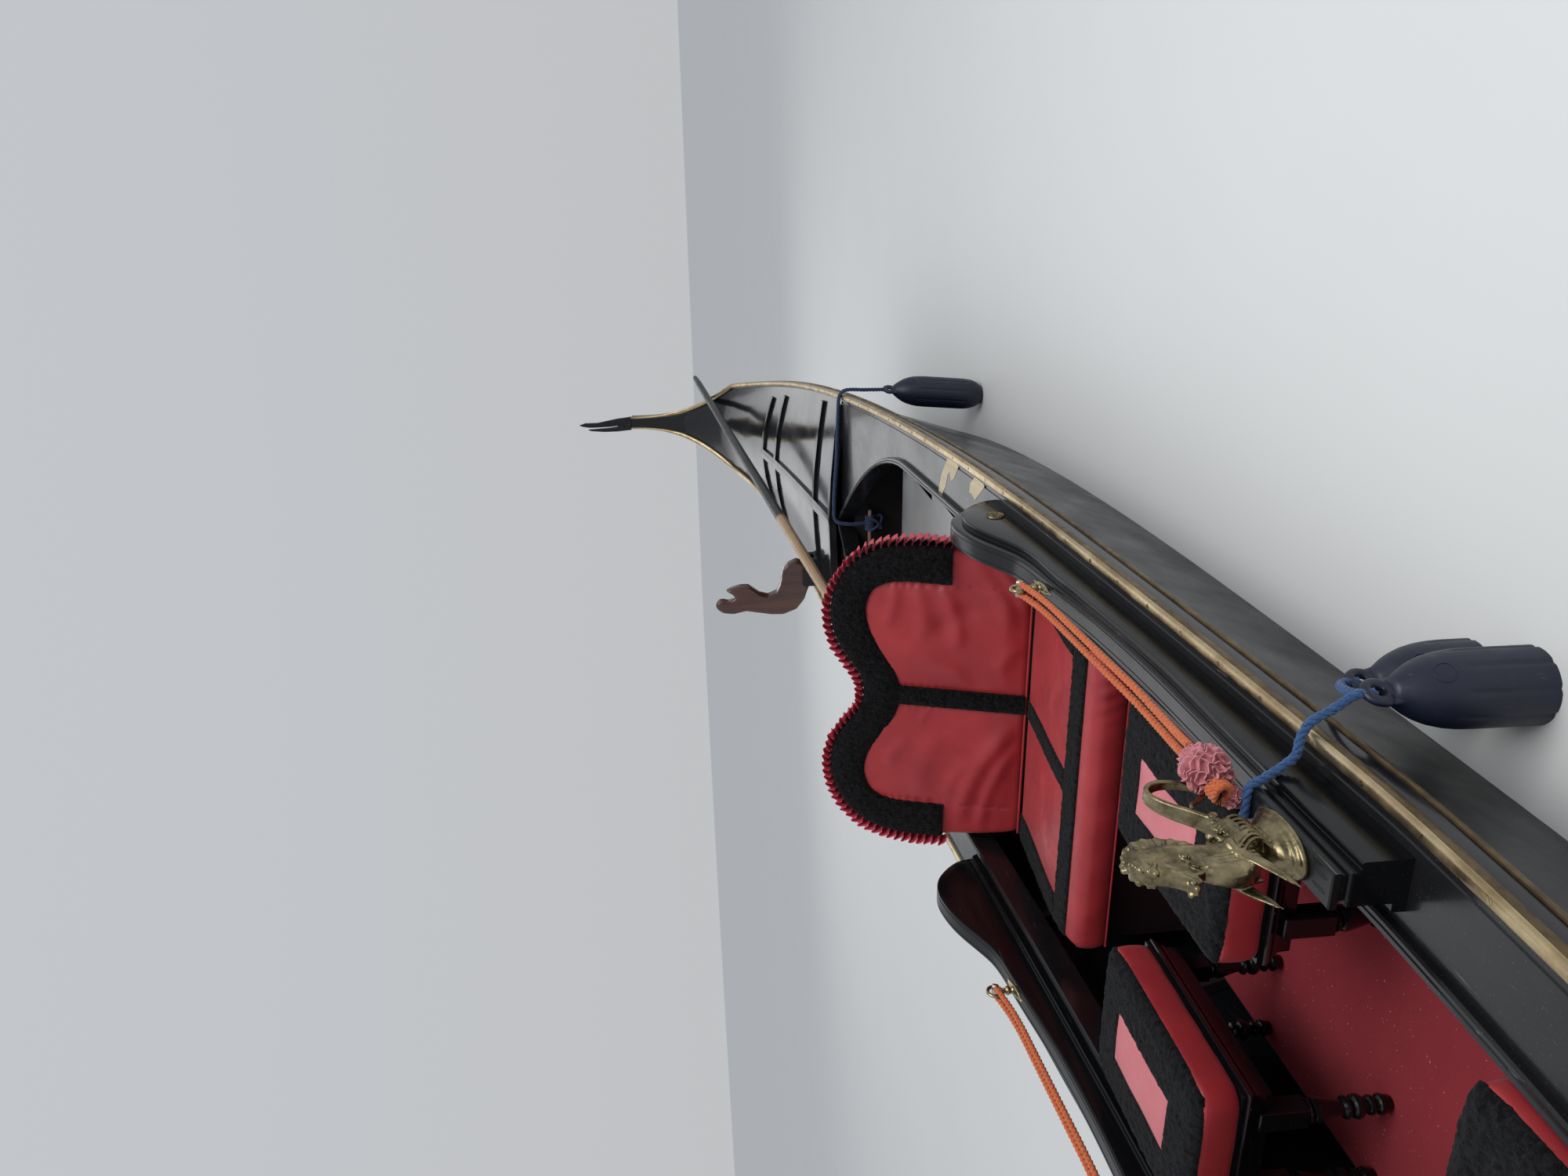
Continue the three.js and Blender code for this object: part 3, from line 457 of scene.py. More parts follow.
# the second colour is the painted highlight on the fur's clumps
PLUSH = plush("black_plush", (0.0015, 0.0015, 0.0018), (0.017, 0.017, 0.019))
CARPET = carpet_look()
WALNUT = timber("walnut", (0.115, 0.034, 0.018), (0.035, 0.01, 0.006), 0.2, 2, coat=0.7)
PIN_WOOD = timber("pin_wood", (0.34, 0.2, 0.15), (0.2, 0.11, 0.08), 0.5, 1)
ASH = timber("pale_wood", (0.42, 0.27, 0.15), (0.26, 0.15, 0.07), 0.45, 0, coat=0.15, dark_aft=-3.5)
ORANGE = fibre("orange_rope", (0.68, 0.17, 0.05), (0.42, 0.075, 0.02))
BLUE = fibre("blue_rope", (0.035, 0.11, 0.28), (0.012, 0.04, 0.12))
NAVY_ROPE = fibre("navy_rope", (0.018, 0.045, 0.13), (0.007, 0.018, 0.055))
RIBBON = fibre("pink_ribbon", (0.66, 0.27, 0.29), (0.46, 0.15, 0.17), 120)
NAVY = rubber("navy_vinyl", (0.0075, 0.011, 0.028), (0.05, 0.055, 0.075))
CREAM = timber("bare_filler", (0.62, 0.52, 0.36), (0.46, 0.37, 0.24), 0.6, 0, coat=0.0)

# Hull lines, as in the part's source
HALF_BEAM, FREEBOARD, DRAUGHT = 0.705, 0.376, 0.21
LOWEST, UPSWEEP, POST_STEP = 0.6, 5.116, 0.45
PLANK, DECK, DECK_DEPTH, STRAKE, GAP, BOTTOM = 0.022, 0.02, 0.013, 0.03, 0.0003, 0.025
WELL_BACK, COCKPIT_FRONT, COCKPIT_HALF = -3.1, 2.15, 0.505
SHELL_TOP = DECK_DEPTH + DECK + GAP
RAIL_Y = 0.601


class Station:
    """A cross section of the hull, from its gunwale down to its keel."""

    def __init__(self, *lines):
        self.lines = lines
        self.x, self.z, self.half, self.keel_x, self.keel_z, self.keel_half = lines
        self.depth = hypot(self.keel_x - self.x, self.z - self.keel_z)
        self.strake, self.strip = min(STRAKE, self.half * 0.35), min(0.026, self.half * 0.3)
        self.side = self.half - self.strake
        self.camber = min(0.045 + 0.03 * max(0, abs(self.x) - 3.1) / 1.1, self.half * 0.25)
        self.endward = clamp((abs(self.x) - 1.2) / 1.2)
        self.strip_depth = 0.005 * (1 - self.endward)

    def at(self, y, depth):
        """A point in the station's plane: y across, depth down from the gunwale to the keel."""
        share = depth / self.depth
        return Vector((lerp(self.x, self.keel_x, share), y, lerp(self.z, self.keel_z, share)))


def station(x):
    away = abs(x - LOWEST)
    rise = 0.044 * away ** 1.35 + 0.16 * (away / 5.7) ** 16
    if x > LOWEST:
        rise = 0.05 * away ** 1.35 + 0.16 * (away / 4.5) ** 12
    half = HALF_BEAM - 0.259 * (max(0, abs(x) - 0.7) / 3.5) ** 2.2
    keel_half = 0.036 + 0.46 * (1 - min(1, abs(x) / 5.15) ** 2.4)
    return Station(x, FREEBOARD + rise, half, x, -DRAUGHT + 0.93 * (abs(x) / 5.1) ** 4, keel_half)


def tip(end, step):
    """The upswept ends: at step 0 they leave the hull, at step 1 they reach the tip."""
    root = station(end * UPSWEEP)
    rise, reach, stem = (0.62, 0.234, 0.88) if end < 0 else (0.255, 0.184, 0.4)
    left = 1 - step
    return Station(end * (UPSWEEP + reach * (1 - left ** 2.1)), root.z + rise * step,
                   0.039 + (root.half - 0.039) * left ** 2.3, end * (UPSWEEP + 0.304 * (1 - left ** 2)),
                   root.keel_z + stem * step, 0.016 + (root.keel_half - 0.016) * left)


TIP_STEPS = [k / 20 for k in range(1, 21)]
HULL = [tip(-1, t) for t in reversed(TIP_STEPS)]
HULL += [station(lerp(-UPSWEEP, UPSWEEP, k / 128)) for k in range(129)]
HULL += [tip(1, t) for t in TIP_STEPS]


def station_on(x):
    for a, b in zip(HULL, HULL[1:]):
        if x <= b.x:
            t = (x - a.x) / (b.x - a.x)
            return Station(*(lerp(p, q, t) for p, q in zip(a.lines, b.lines)))
    return HULL[-1]


def run(start, end):
    return [station_on(start)] + [s for s in HULL if start + 0.002 < s.x < end - 0.002] + [station_on(end)]


def sweep(stations, section, sign=1):
    """A shell through the stations; the section gives its (y, depth) points at each."""
    return Form().loft([[s.at(sign * y, depth) for y, depth in section(s)] for s in stations])


def gunwale_z(x):
    return station_on(x).z


def deck_z(x):
    return gunwale_z(x) - DECK_DEPTH


# Ropes
def laid_rope(form, path, radius, pitch, step=0.0035):
    """A rope of three twisted strands along the path."""
    inner = radius * 0.46
    lay = radius - inner
    for k in range(3):
        strand = []
        for walked, p, side, rise in walk(path, step):
            angle = 2 * pi * (walked / pitch + k / 3)
            strand.append(p + side * (lay * cos(angle)) + rise * (lay * sin(angle)))
        form.rod(strand, inner * 1.08, 6)
    return form


def braided_rope(path, radius):
    """A plaited rope: one skin whose bumps run under and over each other both ways."""
    plait, around, rings = 0.014, 21, []
    for walked, p, side, rise in walk(path, 0.0018):
        ring = []
        for k, (c, s) in enumerate(circle(around)):
            one, two = 3 * k / around + walked / plait, 3 * k / around - walked / plait
            across, along = (one % 1, two % 1) if (one // 1 + two // 1) % 2 else (two % 1, one % 1)
            ridge = sin(pi * across) ** 0.6 * (0.72 + 0.28 * sin(pi * along))
            r = radius * (0.5 + 0.55 * ridge)
            ring.append(p + side * (r * c) + rise * (r * s))
        rings.append(ring)
    return Form().loft(rings)


RAIL = [  # x, height of the outer step, height of the top
    (-1.198, 0.468, 0.478), (-1.19, 0.496, 0.52), (-1.172, 0.521, 0.55), (-1.15, 0.545, 0.574),
    (-1.115, 0.572, 0.602), (-1.085, 0.586, 0.617), (-1.05, 0.593, 0.625), (-1.015, 0.595, 0.627),
    (-0.98, 0.591, 0.623), (-0.94, 0.581, 0.615), (-0.9, 0.566, 0.603), (-0.86, 0.549, 0.587),
    (-0.82, 0.531, 0.568), (-0.78, 0.516, 0.549), (-0.74, 0.506, 0.533), (-0.69, 0.499, 0.522),
    (-0.6, 0.494, 0.511), (-0.51, 0.487, 0.5), (-0.45, 0.481, 0.492), (-0.32, 0.47, 0.477),
    (-0.15, 0.456, 0.465), (0, 0.449, 0.4595), (0.2, 0.448, 0.4565), (0.45, 0.446, 0.456),
    (0.658, 0.443, 0.456)]
SLAB = {"start": 0.405, "end": 0.664, "inner": -0.027, "outer": 0.034, "top": 0.489, "under": 0.476}
ROPE, CORD = 0.0085, 0.008
SOLID_RAIL = 0.12
EYE_X, HORSE_X = -0.594, 0.524
POMPOM = {"x": 0.35, "y": 0.03, "z": 0.533, "long": 0.058, "wide": 0.044}
PIN = {"x": WELL_BACK + 0.068, "z": 0.5}


def rail_top(x):
    return between(x, [(place, top) for place, _, top in RAIL]) + GAP


def solid_top(x):
    """The top of the part's solid rail, higher than the moulded one; the ropes hang over it."""
    return between(x, [(place, deck_z(place) + SOLID_RAIL) for place in (-0.68, -0.45, 0, 0.45, 0.664)]) + GAP


def orange_route(sign, offset, reach):
    """(x, height over the solid rail, shift outboard) at each point, ending in the pompom."""
    rows = [(EYE_X - 0.004, 0.026, 0), (-0.545, 0.017, 0), (-0.49, 0.011, 0), (-0.43, 0.0085, 0),
            (-0.34, 0.0085, 0), (-0.15, 0.0085, 0), (0, 0.0085, 0), (0.08, 0.01, 0), (0.17, 0.02, 0.008),
            (0.23, 0.031, 0.018), (POMPOM["x"] - reach, 0.0424, POMPOM["y"])]
    return [Vector((x, sign * (RAIL_Y + offset + shift), solid_top(x) + over)) for x, over, shift in rows]


EDGE_Z = gunwale_z(-3.06)
AFT_ROUTE = [(PIN["x"], 0.008, PIN["z"] + 0.0094), (PIN["x"] + 0.004, 0.008, 0.6),
             (-3.04, 0.024, EDGE_Z + 0.026), (-3.056, 0.09, EDGE_Z + 0.032), (-3.062, 0.3, EDGE_Z + 0.02),
             (-3.064, 0.52, EDGE_Z + 0.013), (-3.06, 0.59, EDGE_Z + 0.0078), (-3.06, 0.613, EDGE_Z - 0.012),
             (-3.06, 0.614, 0.52), (-3.06, 0.612, 0.42)]
BLOCK_Z = solid_top(0.4)
FORE_ROUTE = [(0.424, 0.58, BLOCK_Z + 0.008), (0.423, 0.61, BLOCK_Z + 0.008),
              (0.418, 0.633, BLOCK_Z + 0.003), (0.413, 0.643, BLOCK_Z - 0.02),
              (0.407, 0.657, BLOCK_Z - 0.05), (0.396, 0.674, deck_z(0.384) + 0.038),
              (0.379, 0.7, gunwale_z(0.379) + 0.01), (0.375, 0.722, gunwale_z(0.375) - 0.006),
              (0.375, 0.742, 0.342), (0.375, 0.766, 0.306), (0.375, 0.768, 0.273)]
MID_ROUTE = [(0.3684, 0.764, 0.296), (0.332, 0.751, 0.292), (0.29, 0.736, 0.276), (0.242, 0.72, 0.246),
             (0.23, 0.716, 0.222), (0.23, 0.716, 0.206)]


def make_cords():
    for side, sign in SIDES:
        for place, offset, reach in (("inner", -0.0129, 0.0576), ("outer", 0.0129, 0.06)):
            name = f"orange_rope_{side}_{place}"
            path = curve(orange_route(sign, offset, reach), 0.012)
            rope = braided_rope(path, CORD).piece(f"plaited_{name}", "orange_rope", ORANGE, [name], 60)
            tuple(path[0])
            line_length(path)
    blue_ropes = (("aft", AFT_ROUTE, NAVY_ROPE), ("fore", FORE_ROUTE, BLUE), ("mid", MID_ROUTE, BLUE))
    for place, route, look in blue_ropes:
        path = curve(route, 0.01)
        rope = laid_rope(Form(), path, ROPE, 0.042)
        rope = rope.piece(f"laid_rope_{place}", "blue_rope", look, [f"fender_rope_{place}"], 60)
        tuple(path[0])
        line_length(path)


make_cords()


# Surroundings: a pale floor at the waterline, open where the hull stands in it, and a soft pale sky
def waterline_half(s):
    share = (s.z - SHELL_TOP) / (s.depth - DECK - 0.005 - GAP - SHELL_TOP)
    return lerp(s.side, s.keel_half, share)


def make_floor():
    ends, inside, far = 3.45, 0.009, 60.0
    xs = [lerp(-ends, ends, k / 60) for k in range(61)]
    edge = [(x, waterline_half(station_on(x)) - inside) for x in xs]
    hole = edge + [(x, -y) for x, y in reversed(edge)]
    outer = [(x * far / hypot(x, y * 4), y * 4 * far / hypot(x, y * 4)) for x, y in hole]
    count = len(hole)
    faces = [[i, (i + 1) % count, count + (i + 1) % count, count + i] for i in range(count)]
    data = bpy.data.meshes.new("floor")
    data.from_pydata([(x, y, 0) for x, y in hole + outer], [], faces)
    data.materials.append(plain_floor())
    floor = bpy.data.objects.new("floor", data)
    SCENE.collection.objects.link(floor)


def make_sky():
    world = bpy.data.worlds.new("sky")
    SCENE.world = world
    world.use_nodes = True
    nodes, links = world.node_tree.nodes, world.node_tree.links
    spot = nodes.new("ShaderNodeTexCoord")
    split = nodes.new("ShaderNodeSeparateXYZ")
    ramp = nodes.new("ShaderNodeValToRGB")
    links.new(spot.outputs["Generated"], split.inputs["Vector"])
    links.new(split.outputs["Z"], ramp.inputs["Fac"])
    ramp.color_ramp.elements[0].color = (0.66, 0.67, 0.69, 1)
    ramp.color_ramp.elements[1].color = (0.7, 0.75, 0.81, 1)
    links.new(ramp.outputs["Color"], nodes["Background"].inputs["Color"])
    nodes["Background"].inputs["Strength"].default_value = 0.8


def make_light(name, at, aim, size, power):
    data = bpy.data.lights.new(name, "AREA")
    data.size, data.energy = size, power
    lamp = bpy.data.objects.new(name, data)
    turn = (Vector(aim) - Vector(at)).to_track_quat("-Z", "Y").to_matrix()
    lamp.matrix_world = Matrix.Translation(at) @ turn.to_4x4()
    SCENE.collection.objects.link(lamp)


make_floor()
make_sky()
make_light("soft_key", (1.0, 3.0, 6.0), (-0.5, 0, 0.3), 3.5, 210)
make_light("soft_back", (-8.0, -2.0, 5.0), (-1.5, 0, 0.4), 6.0, 90)
SCENE.view_settings.view_transform = "Standard"


# Hull shell
def side_section(s):
    foot = s.depth - BOTTOM - GAP
    return [(s.side, SHELL_TOP), (s.keel_half, foot), (s.keel_half - PLANK, foot),
            (s.side - PLANK, SHELL_TOP)]


def bottom_section(s):
    wide, low = s.keel_half, s.depth
    return [(wide, low - BOTTOM), (wide - 0.012, low), (0.012 - wide, low), (-wide, low - BOTTOM)]


def post_section(s):
    return [(s.side, DECK_DEPTH), (s.keel_half, s.depth), (-s.keel_half, s.depth), (-s.side, DECK_DEPTH)]


AFT_POST, FORE_POST = tip(-1, POST_STEP).x, tip(1, POST_STEP).x


def make_shell():
    planks = run(AFT_POST, FORE_POST)
    sweep(planks, bottom_section).piece("bottom_shell", "black_lacquer", SIDE_BLACK, ["bottom_planking"])
    for side, sign in SIDES:
        sweep(planks, side_section, sign).piece(f"side_shell_{side}", "black_lacquer", SIDE_BLACK,
                                                [f"side_{side}_aft", f"side_{side}_fore"])
    for end, name in ((-1, "stern"), (1, "stem")):
        post = [tip(end, t) for t in [POST_STEP] + TIP_STEPS[TIP_STEPS.index(POST_STEP) + 1:]]
        sweep(post, post_section).piece(f"{name}_end", "black_lacquer", BLACK, [f"{name}_post"])


# Gunwale: gold strip with its screws on a black strake, its band down the outer face in darker brass as
# painted shade, and a duller moulding under it
def screw(form, s, y, depth):
    """A slotted screw head on top of the strip, as two half discs."""
    radius, slot = 0.0046, 0.0006
    turn = Matrix.Rotation(s.x * 37, 3, "Z")
    for half in (1, -1):
        arc = [(half * radius * cos(pi * k / 6), half * (radius * sin(pi * k / 6) + slot)) for k in range(7)]
        form.loft([[s.at(y, depth) + turn @ Vector((a, b, z)) for a, b in arc] for z in (-0.001, 0.0007)], 1)


def strip_section(s):
    """The bright strip on top of the gunwale."""
    inner, top, foot = s.half - s.strip, s.strip_depth, DECK_DEPTH
    shape = [(0, 0), (0.03, 0.5), (0.12, 0.85), (0.3, 1), (0.66, 1), (0.86, 0.85), (0.97, 0.45), (1, 0)]
    return [(inner + s.strip * across, lerp(foot, top, up)) for across, up in shape]


def band_section(s):
    """The band that the strip folds down over the outer face, made darker than the strip as painted shade."""
    deep = min(0.018, s.half * 0.2)
    shape = [(-0.3, 0), (-0.02, 0), (0.03, 0.003), (0.01, deep * 0.8), (-0.05, deep), (-0.3, deep)]
    return [(s.half + s.strip * across, DECK_DEPTH + down) for across, down in shape]


def strake_foot(s):
    return 0.058 + 0.022 * (1 - s.endward)


def strake_section(s):
    inner, w, low, top = s.side + GAP, s.strake, strake_foot(s), DECK_DEPTH + GAP
    away = min(w * 0.4, 0.002 + max(0, abs(s.x) - 4.6) / 60)
    return [(inner, top), (inner + w * 0.86, top), (inner + w * 0.93, 0.028),
            (inner + w * 0.93, low - 0.018), (inner + w * 0.76, low - 0.002), (inner + away, low),
            (inner, DECK_DEPTH + DECK)]


def moulding_section(s):
    out, w, low = s.side + s.strake * 0.93, min(0.005, s.half * 0.06), strake_foot(s) - 0.022
    return [(out - 0.003, low), (out + w * 0.7, low + 0.0015), (out + w, low + 0.006),
            (out + w * 0.6, low + 0.012), (out - w * 1.2, low + 0.015)]


def make_gunwales():
    for side, sign in SIDES:
        form = sweep(HULL, strip_section, sign)
        for k in range(68):
            s = station_on(lerp(-5.0, 5.0, k / 67))
            screw(form, s, sign * (s.half - s.strip * 0.5), s.strip_depth)
        form.piece(f"gold_strip_{side}", "brass", [STRIP_GOLD, EYE_BRASS], [f"brass_strip_{side}"], 50)
        strake = sweep(HULL, strake_section, sign)
        strake.piece(f"black_strake_{side}", "black_lacquer", BLACK, [f"gunwale_strake_{side}"])
        # the band is the strip's own fold in darker brass: painted shade on its underside
        sweep(HULL, band_section, sign).piece(f"shaded_band_{side}", "brass", DULL_AND_SHADED_GOLD)
        sweep(HULL, moulding_section, sign).piece(f"lower_moulding_{side}", "brass", DULL_AND_SHADED_GOLD)


# Decks
SHARES = [0.08, 0.2, 0.35, 0.5, 0.65, 0.8, 0.92, 1]
ACROSS = [-t for t in reversed(SHARES)] + [0] + SHARES


def deck_section(s):
    """An end deck: its crowned top from side to side, and its underside back again."""
    edge = s.side - (0.004 if abs(s.x) > 4.85 else 0)
    crown = [(t * edge, DECK_DEPTH - s.camber * (1 - abs(t) ** 1.6)) for t in ACROSS]
    return crown + [(y, depth + DECK) for y, depth in reversed(crown)]


def side_deck_section(s):
    """A side deck with a groove along its edge and a moulded rim around the cockpit and the well."""
    rim, groove, top, outer = 0.024, 0.006, DECK_DEPTH, s.side
    inner = max(0.008, COCKPIT_HALF * (1 - min(1, max(0, -2.1 - s.x)) ** 1.8))
    edge = [(outer, 0), (outer - groove * 0.6, 0), (outer - groove, 0.003), (outer - groove * 1.8, 0.003),
            (outer - groove * 2.2, 0), (inner + rim, 0), (inner + rim, -0.012),
            (inner + rim * 0.85, -0.016), (inner + rim * 0.6, -0.016), (inner + rim * 0.5, -0.013),
            (inner + rim * 0.4, -0.016), (inner + rim * 0.15, -0.0175), (inner, -0.013), (inner, 0.06),
            (inner + 0.014, 0.06), (inner + 0.014, DECK), (outer, DECK)]
    return [(y, top + depth) for y, depth in edge]


def make_decks():
    for name, start, end in (("aft_deck", AFT_POST, WELL_BACK), ("fore_deck", COCKPIT_FRONT, FORE_POST)):
        sweep(run(start, end), deck_section).piece(f"{name}_skin", "black_lacquer", DECK_BLACK, [name], 55)
    beside = run(WELL_BACK + GAP, COCKPIT_FRONT - GAP)
    for side, sign in SIDES:
        deck = sweep(beside, side_deck_section, sign)
        deck.piece(f"side_deck_skin_{side}", "black_lacquer", DUSTY_BLACK, [f"side_deck_{side}"], 30)


# Side rails: a moulded board that rises to a rounded armrest, with a block for the sea horse
def flowing(x, table):
    """A smooth line through (position, amount) rows."""
    last = len(table) - 1
    i = max([k for k in range(last) if table[k][0] <= x] or [0])

    def slope(k):
        a, b = table[max(k - 1, 0)], table[min(k + 1, last)]
        return (b[1] - a[1]) / (b[0] - a[0])
    (x0, y0), (x1, y1) = table[i], table[i + 1]
    wide, t = x1 - x0, clamp((x - x0) / (x1 - x0))
    pull = slope(i) * wide * (t ** 3 - 2 * t ** 2 + t) + slope(i + 1) * wide * (t ** 3 - t ** 2)
    return lerp(y0, y1, t * t * (3 - 2 * t)) + pull


STEPS = [(x, step) for x, step, _ in RAIL]
TOPS = [(x, top) for x, _, top in RAIL]


def rail_section(x):
    foot, step, top = deck_z(x) + GAP, flowing(x, STEPS), flowing(x, TOPS)
    base = foot + min(0.022, (top - foot) * 0.3)
    crown = [(0.0282, 0.0068), (0.0272, 0.0032), (0.0252, 0.0007), (0.0225, 0), (0.0178, 0),
             (0.0164, 0.0018), (0.0146, 0.0018), (0.0132, 0)]
    outer = [(0.0462, -0.0045), (0.045, -0.0012), (0.0428, 0), (0.0402, 0.0002), (0.039, -0.0014),
             (0.0345, -0.0014), (0.0335, 0.0002), (0.03, 0), (0.0286, 0.0006)]
    inner = [(-0.0284, 0.002), (-0.03, 0), (-0.041, 0), (-0.0436, -0.003)]
    return [(0.0462, foot), *((y, step + up) for y, up in outer), *((y, top - dip) for y, dip in crown),
            *((-y, top - dip) for y, dip in reversed(crown)), *((y, base + up) for y, up in inner),
            (-0.0442, foot)]


def rectangle(x, y, half_x, half_y, z):
    return [(x + a * half_x, y + b * half_y, z) for a, b in ((-1, -1), (1, -1), (1, 1), (-1, 1))]


def rail_block(sign):
    """The raised block in front, with its bead and the slab that the sea horse stands on."""
    form = Form()
    start, end = SLAB["start"], SLAB["end"]
    middle = sign * (RAIL_Y + (SLAB["inner"] + SLAB["outer"]) / 2)
    wide = (SLAB["outer"] - SLAB["inner"]) / 2
    rows = [(0.0075, 0.452), (0.003, 0.454), (0.0012, 0.457), (0.0012, 0.46), (0.004, 0.4625),
            (0.0085, 0.4635), (0.0085, 0.4685), (0.006, 0.4715), (0.002, 0.4742), (0.001, 0.4758),
            (0, 0.4763), (0, 0.487), (0.0025, 0.489)]
    form.loft([rectangle((start + end) / 2, middle, (end - start) / 2 - inset, wide - inset, z)
               for inset, z in rows])
    for shift in (-0.011, 0.012):
        leaf = []
        for c, s in circle(20):
            across = 0.0032 * s * (0.5 + 0.25 * (1 + c))
            leaf.append((end - 0.03 + 0.0165 * c, middle + shift + across, SLAB["top"] + 0.00005))
        form.rod(leaf + leaf[:1], 0.0007, 6)
    return form


def rosette(at, out):
    """A turned brass flower on the armrest's outer face."""
    petals, rings = 12, []
    rows = [(0.0005, 0.0102), (0.003, 0.01), (0.0055, 0.0088), (0.007, 0.0062), (0.0085, 0.0052),
            (0.011, 0.0072), (0.015, 0.0078), (0.0185, 0.006), (0.02, 0.0034), (0.0212, 0.004),
            (0.0232, 0.0058), (0.0252, 0.0052), (0.0266, 0.0026), (0.027, 0.0)]
    for radius, height in rows:
        ring = []
        for k, (c, s) in enumerate(circle(72)):
            petal = 0.003 * (abs(sin(petals * pi * k / 72)) - 0.6) if 0.0085 < radius < 0.0195 else 0
            ring.append((at[0] + radius * c, at[1] + out * (height + petal), at[2] + radius * s))
        rings.append(ring)
    return Form().loft(rings)


def make_rails():
    xs = [lerp(RAIL[0][0], RAIL[-1][0], k / 240) for k in range(241)]
    for side, sign in SIDES:
        rail = Form().loft([[(x, sign * (RAIL_Y + y), z) for y, z in rail_section(x)] for x in xs])
        rail.piece(f"moulded_rail_{side}", "black_lacquer", RAIL_BLACK, [f"side_rail_{side}"], 28)
        rail_block(sign).piece(f"rail_block_{side}", "black_lacquer", BLOCK_BLACK, sharp=28)
        rosette((-1.042, sign * (RAIL_Y + 0.046), 0.504), sign).piece(f"rosette_{side}", "brass", HORSE_BRASS)


# Rope eyes: a ring on a turned stem, on a leaf-shaped plate
def leaf_plate(x, y, z, slope):
    rings = []
    rows = [(1.0, -0.002), (1.0, 0.0012), (0.94, 0.0026), (0.78, 0.0034), (0.62, 0.0052), (0.4, 0.0066)]
    for share, height in rows:
        ring = []
        for k, (c, s) in enumerate(circle(48)):
            t = 2 * pi * k / 48
            along = 0.045 * c * (1 + 0.13 * cos(5 * t)) * share
            across = 0.0128 * s * (1 + 0.12 * cos(4 * t)) * share
            ring.append((x + along, y + across, z + height + along * slope))
        rings.append(ring)
    return Form().loft(rings)


def make_eyes():
    foot = rail_top(EYE_X)
    slope = (rail_top(EYE_X + 0.04) - rail_top(EYE_X - 0.04)) / 0.08
    stem = [(0.01, 0.002), (0.0118, 0.006), (0.0105, 0.009), (0.0078, 0.011), (0.0105, 0.0135),
            (0.0128, 0.018), (0.0128, 0.021), (0.0105, 0.0255), (0.0072, 0.028), (0.0092, 0.0298),
            (0.0092, 0.0318), (0.0068, 0.0335), (0.0052, 0.0345)]
    band = [(-0.0068, -0.0105), (0.0068, -0.0105), (0.0082, 0), (0.0068, 0.0105), (-0.0068, 0.0105),
            (-0.0082, 0)]
    swell = [(0.004, 0.9), (0.006, 1.04), (0.016, 1.0), (0.0205, 0.85), (0.022, 0.55)]
    for side, sign in SIDES:
        y, centre_z = sign * RAIL_Y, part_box(f"rope_eye_{side}")[1][2] - 0.0215
        form = leaf_plate(EYE_X, y, foot, slope).turned(stem, 28, (EYE_X, y, foot))
        form.hoop(Vector((EYE_X, y, centre_z)), 0.02, 0.005, 40)
        form.piece(f"ring_eye_{side}", "brass", EYE_BRASS, [f"rope_eye_{side}"], 45)
        x, z = EYE_X - 0.002, centre_z - 0.001
        rows = [(-shift, size) for shift, size in reversed(swell)] + swell
        clip = Form().loft([[(x + (a * 0.8 - b * 0.35) * size, y + shift, z + (b * 0.8 + a * 0.3) * size)
                             for a, b in band] for shift, size in rows])
        clip.piece(f"rope_clamp_{side}", "brass", PALE_METAL, sharp=60)


# Brass sea horses
def blob(form, at, size, sides=14):
    (x, y, z), (a, b, c), rows = at, size, [pi * i / 8 for i in range(1, 8)]
    return form.loft([[(x + a * sin(t) * u, y + b * sin(t) * v, z - c * cos(t)) for u, v in circle(sides)]
                      for t in rows])


def plate(form, outline, low, high):
    """A flat plate in the boat's length and height, as thick as low to high across it."""
    return form.loft([[(x, y, z) for x, z in outline] for y in (low, high)])


def curl(form, at, radius, tube, turns=1.3):
    line = []
    for k in range(26):
        t = k / 25
        angle, r = 2 * pi * turns * t, lerp(radius, radius * 0.25, t)
        line.append((at[0] + r * cos(angle), at[1], at[2] + r * sin(angle)))
    return form.rod(line, lambda t: tube * (1 - 0.45 * t), 8, up=(0, 1, 0))


def swelling(rows):
    """A table of how thick (x, y, z, radius) rows are against the share of the way along them."""
    ways = [0.0]
    for a, b in zip(rows, rows[1:]):
        ways.append(ways[-1] + (Vector(b[:3]) - Vector(a[:3])).length)
    return [(way / ways[-1], row[3]) for way, row in zip(ways, rows)]


def bar(form, rows, flat=1.0, sides=8):
    """A bar through (x, y, z, radius) rows, smoothed."""
    table = swelling(rows)
    return form.rod(curve([row[:3] for row in rows], 0.0035), lambda t: between(t, table), sides, flat)


def pair(form, rows):
    """A thin bar on each side."""
    for sign in (-1, 1):
        bar(form, [(x, sign * y, z, radius) for x, y, z, radius in rows])


def horse_base(form):
    profile = [(0.042, 0), (0.0422, 0.006), (0.0408, 0.0088), (0.0376, 0.01), (0.0366, 0.0124),
               (0.0352, 0.0158), (0.0326, 0.0174), (0.0312, 0.0205), (0.0286, 0.0262), (0.024, 0.0318),
               (0.016, 0.0362), (0.005, 0.0384)]
    form.loft([[(0.006 + 1.85 * r * c, r * s, z) for c, s in circle(48)] for r, z in profile])


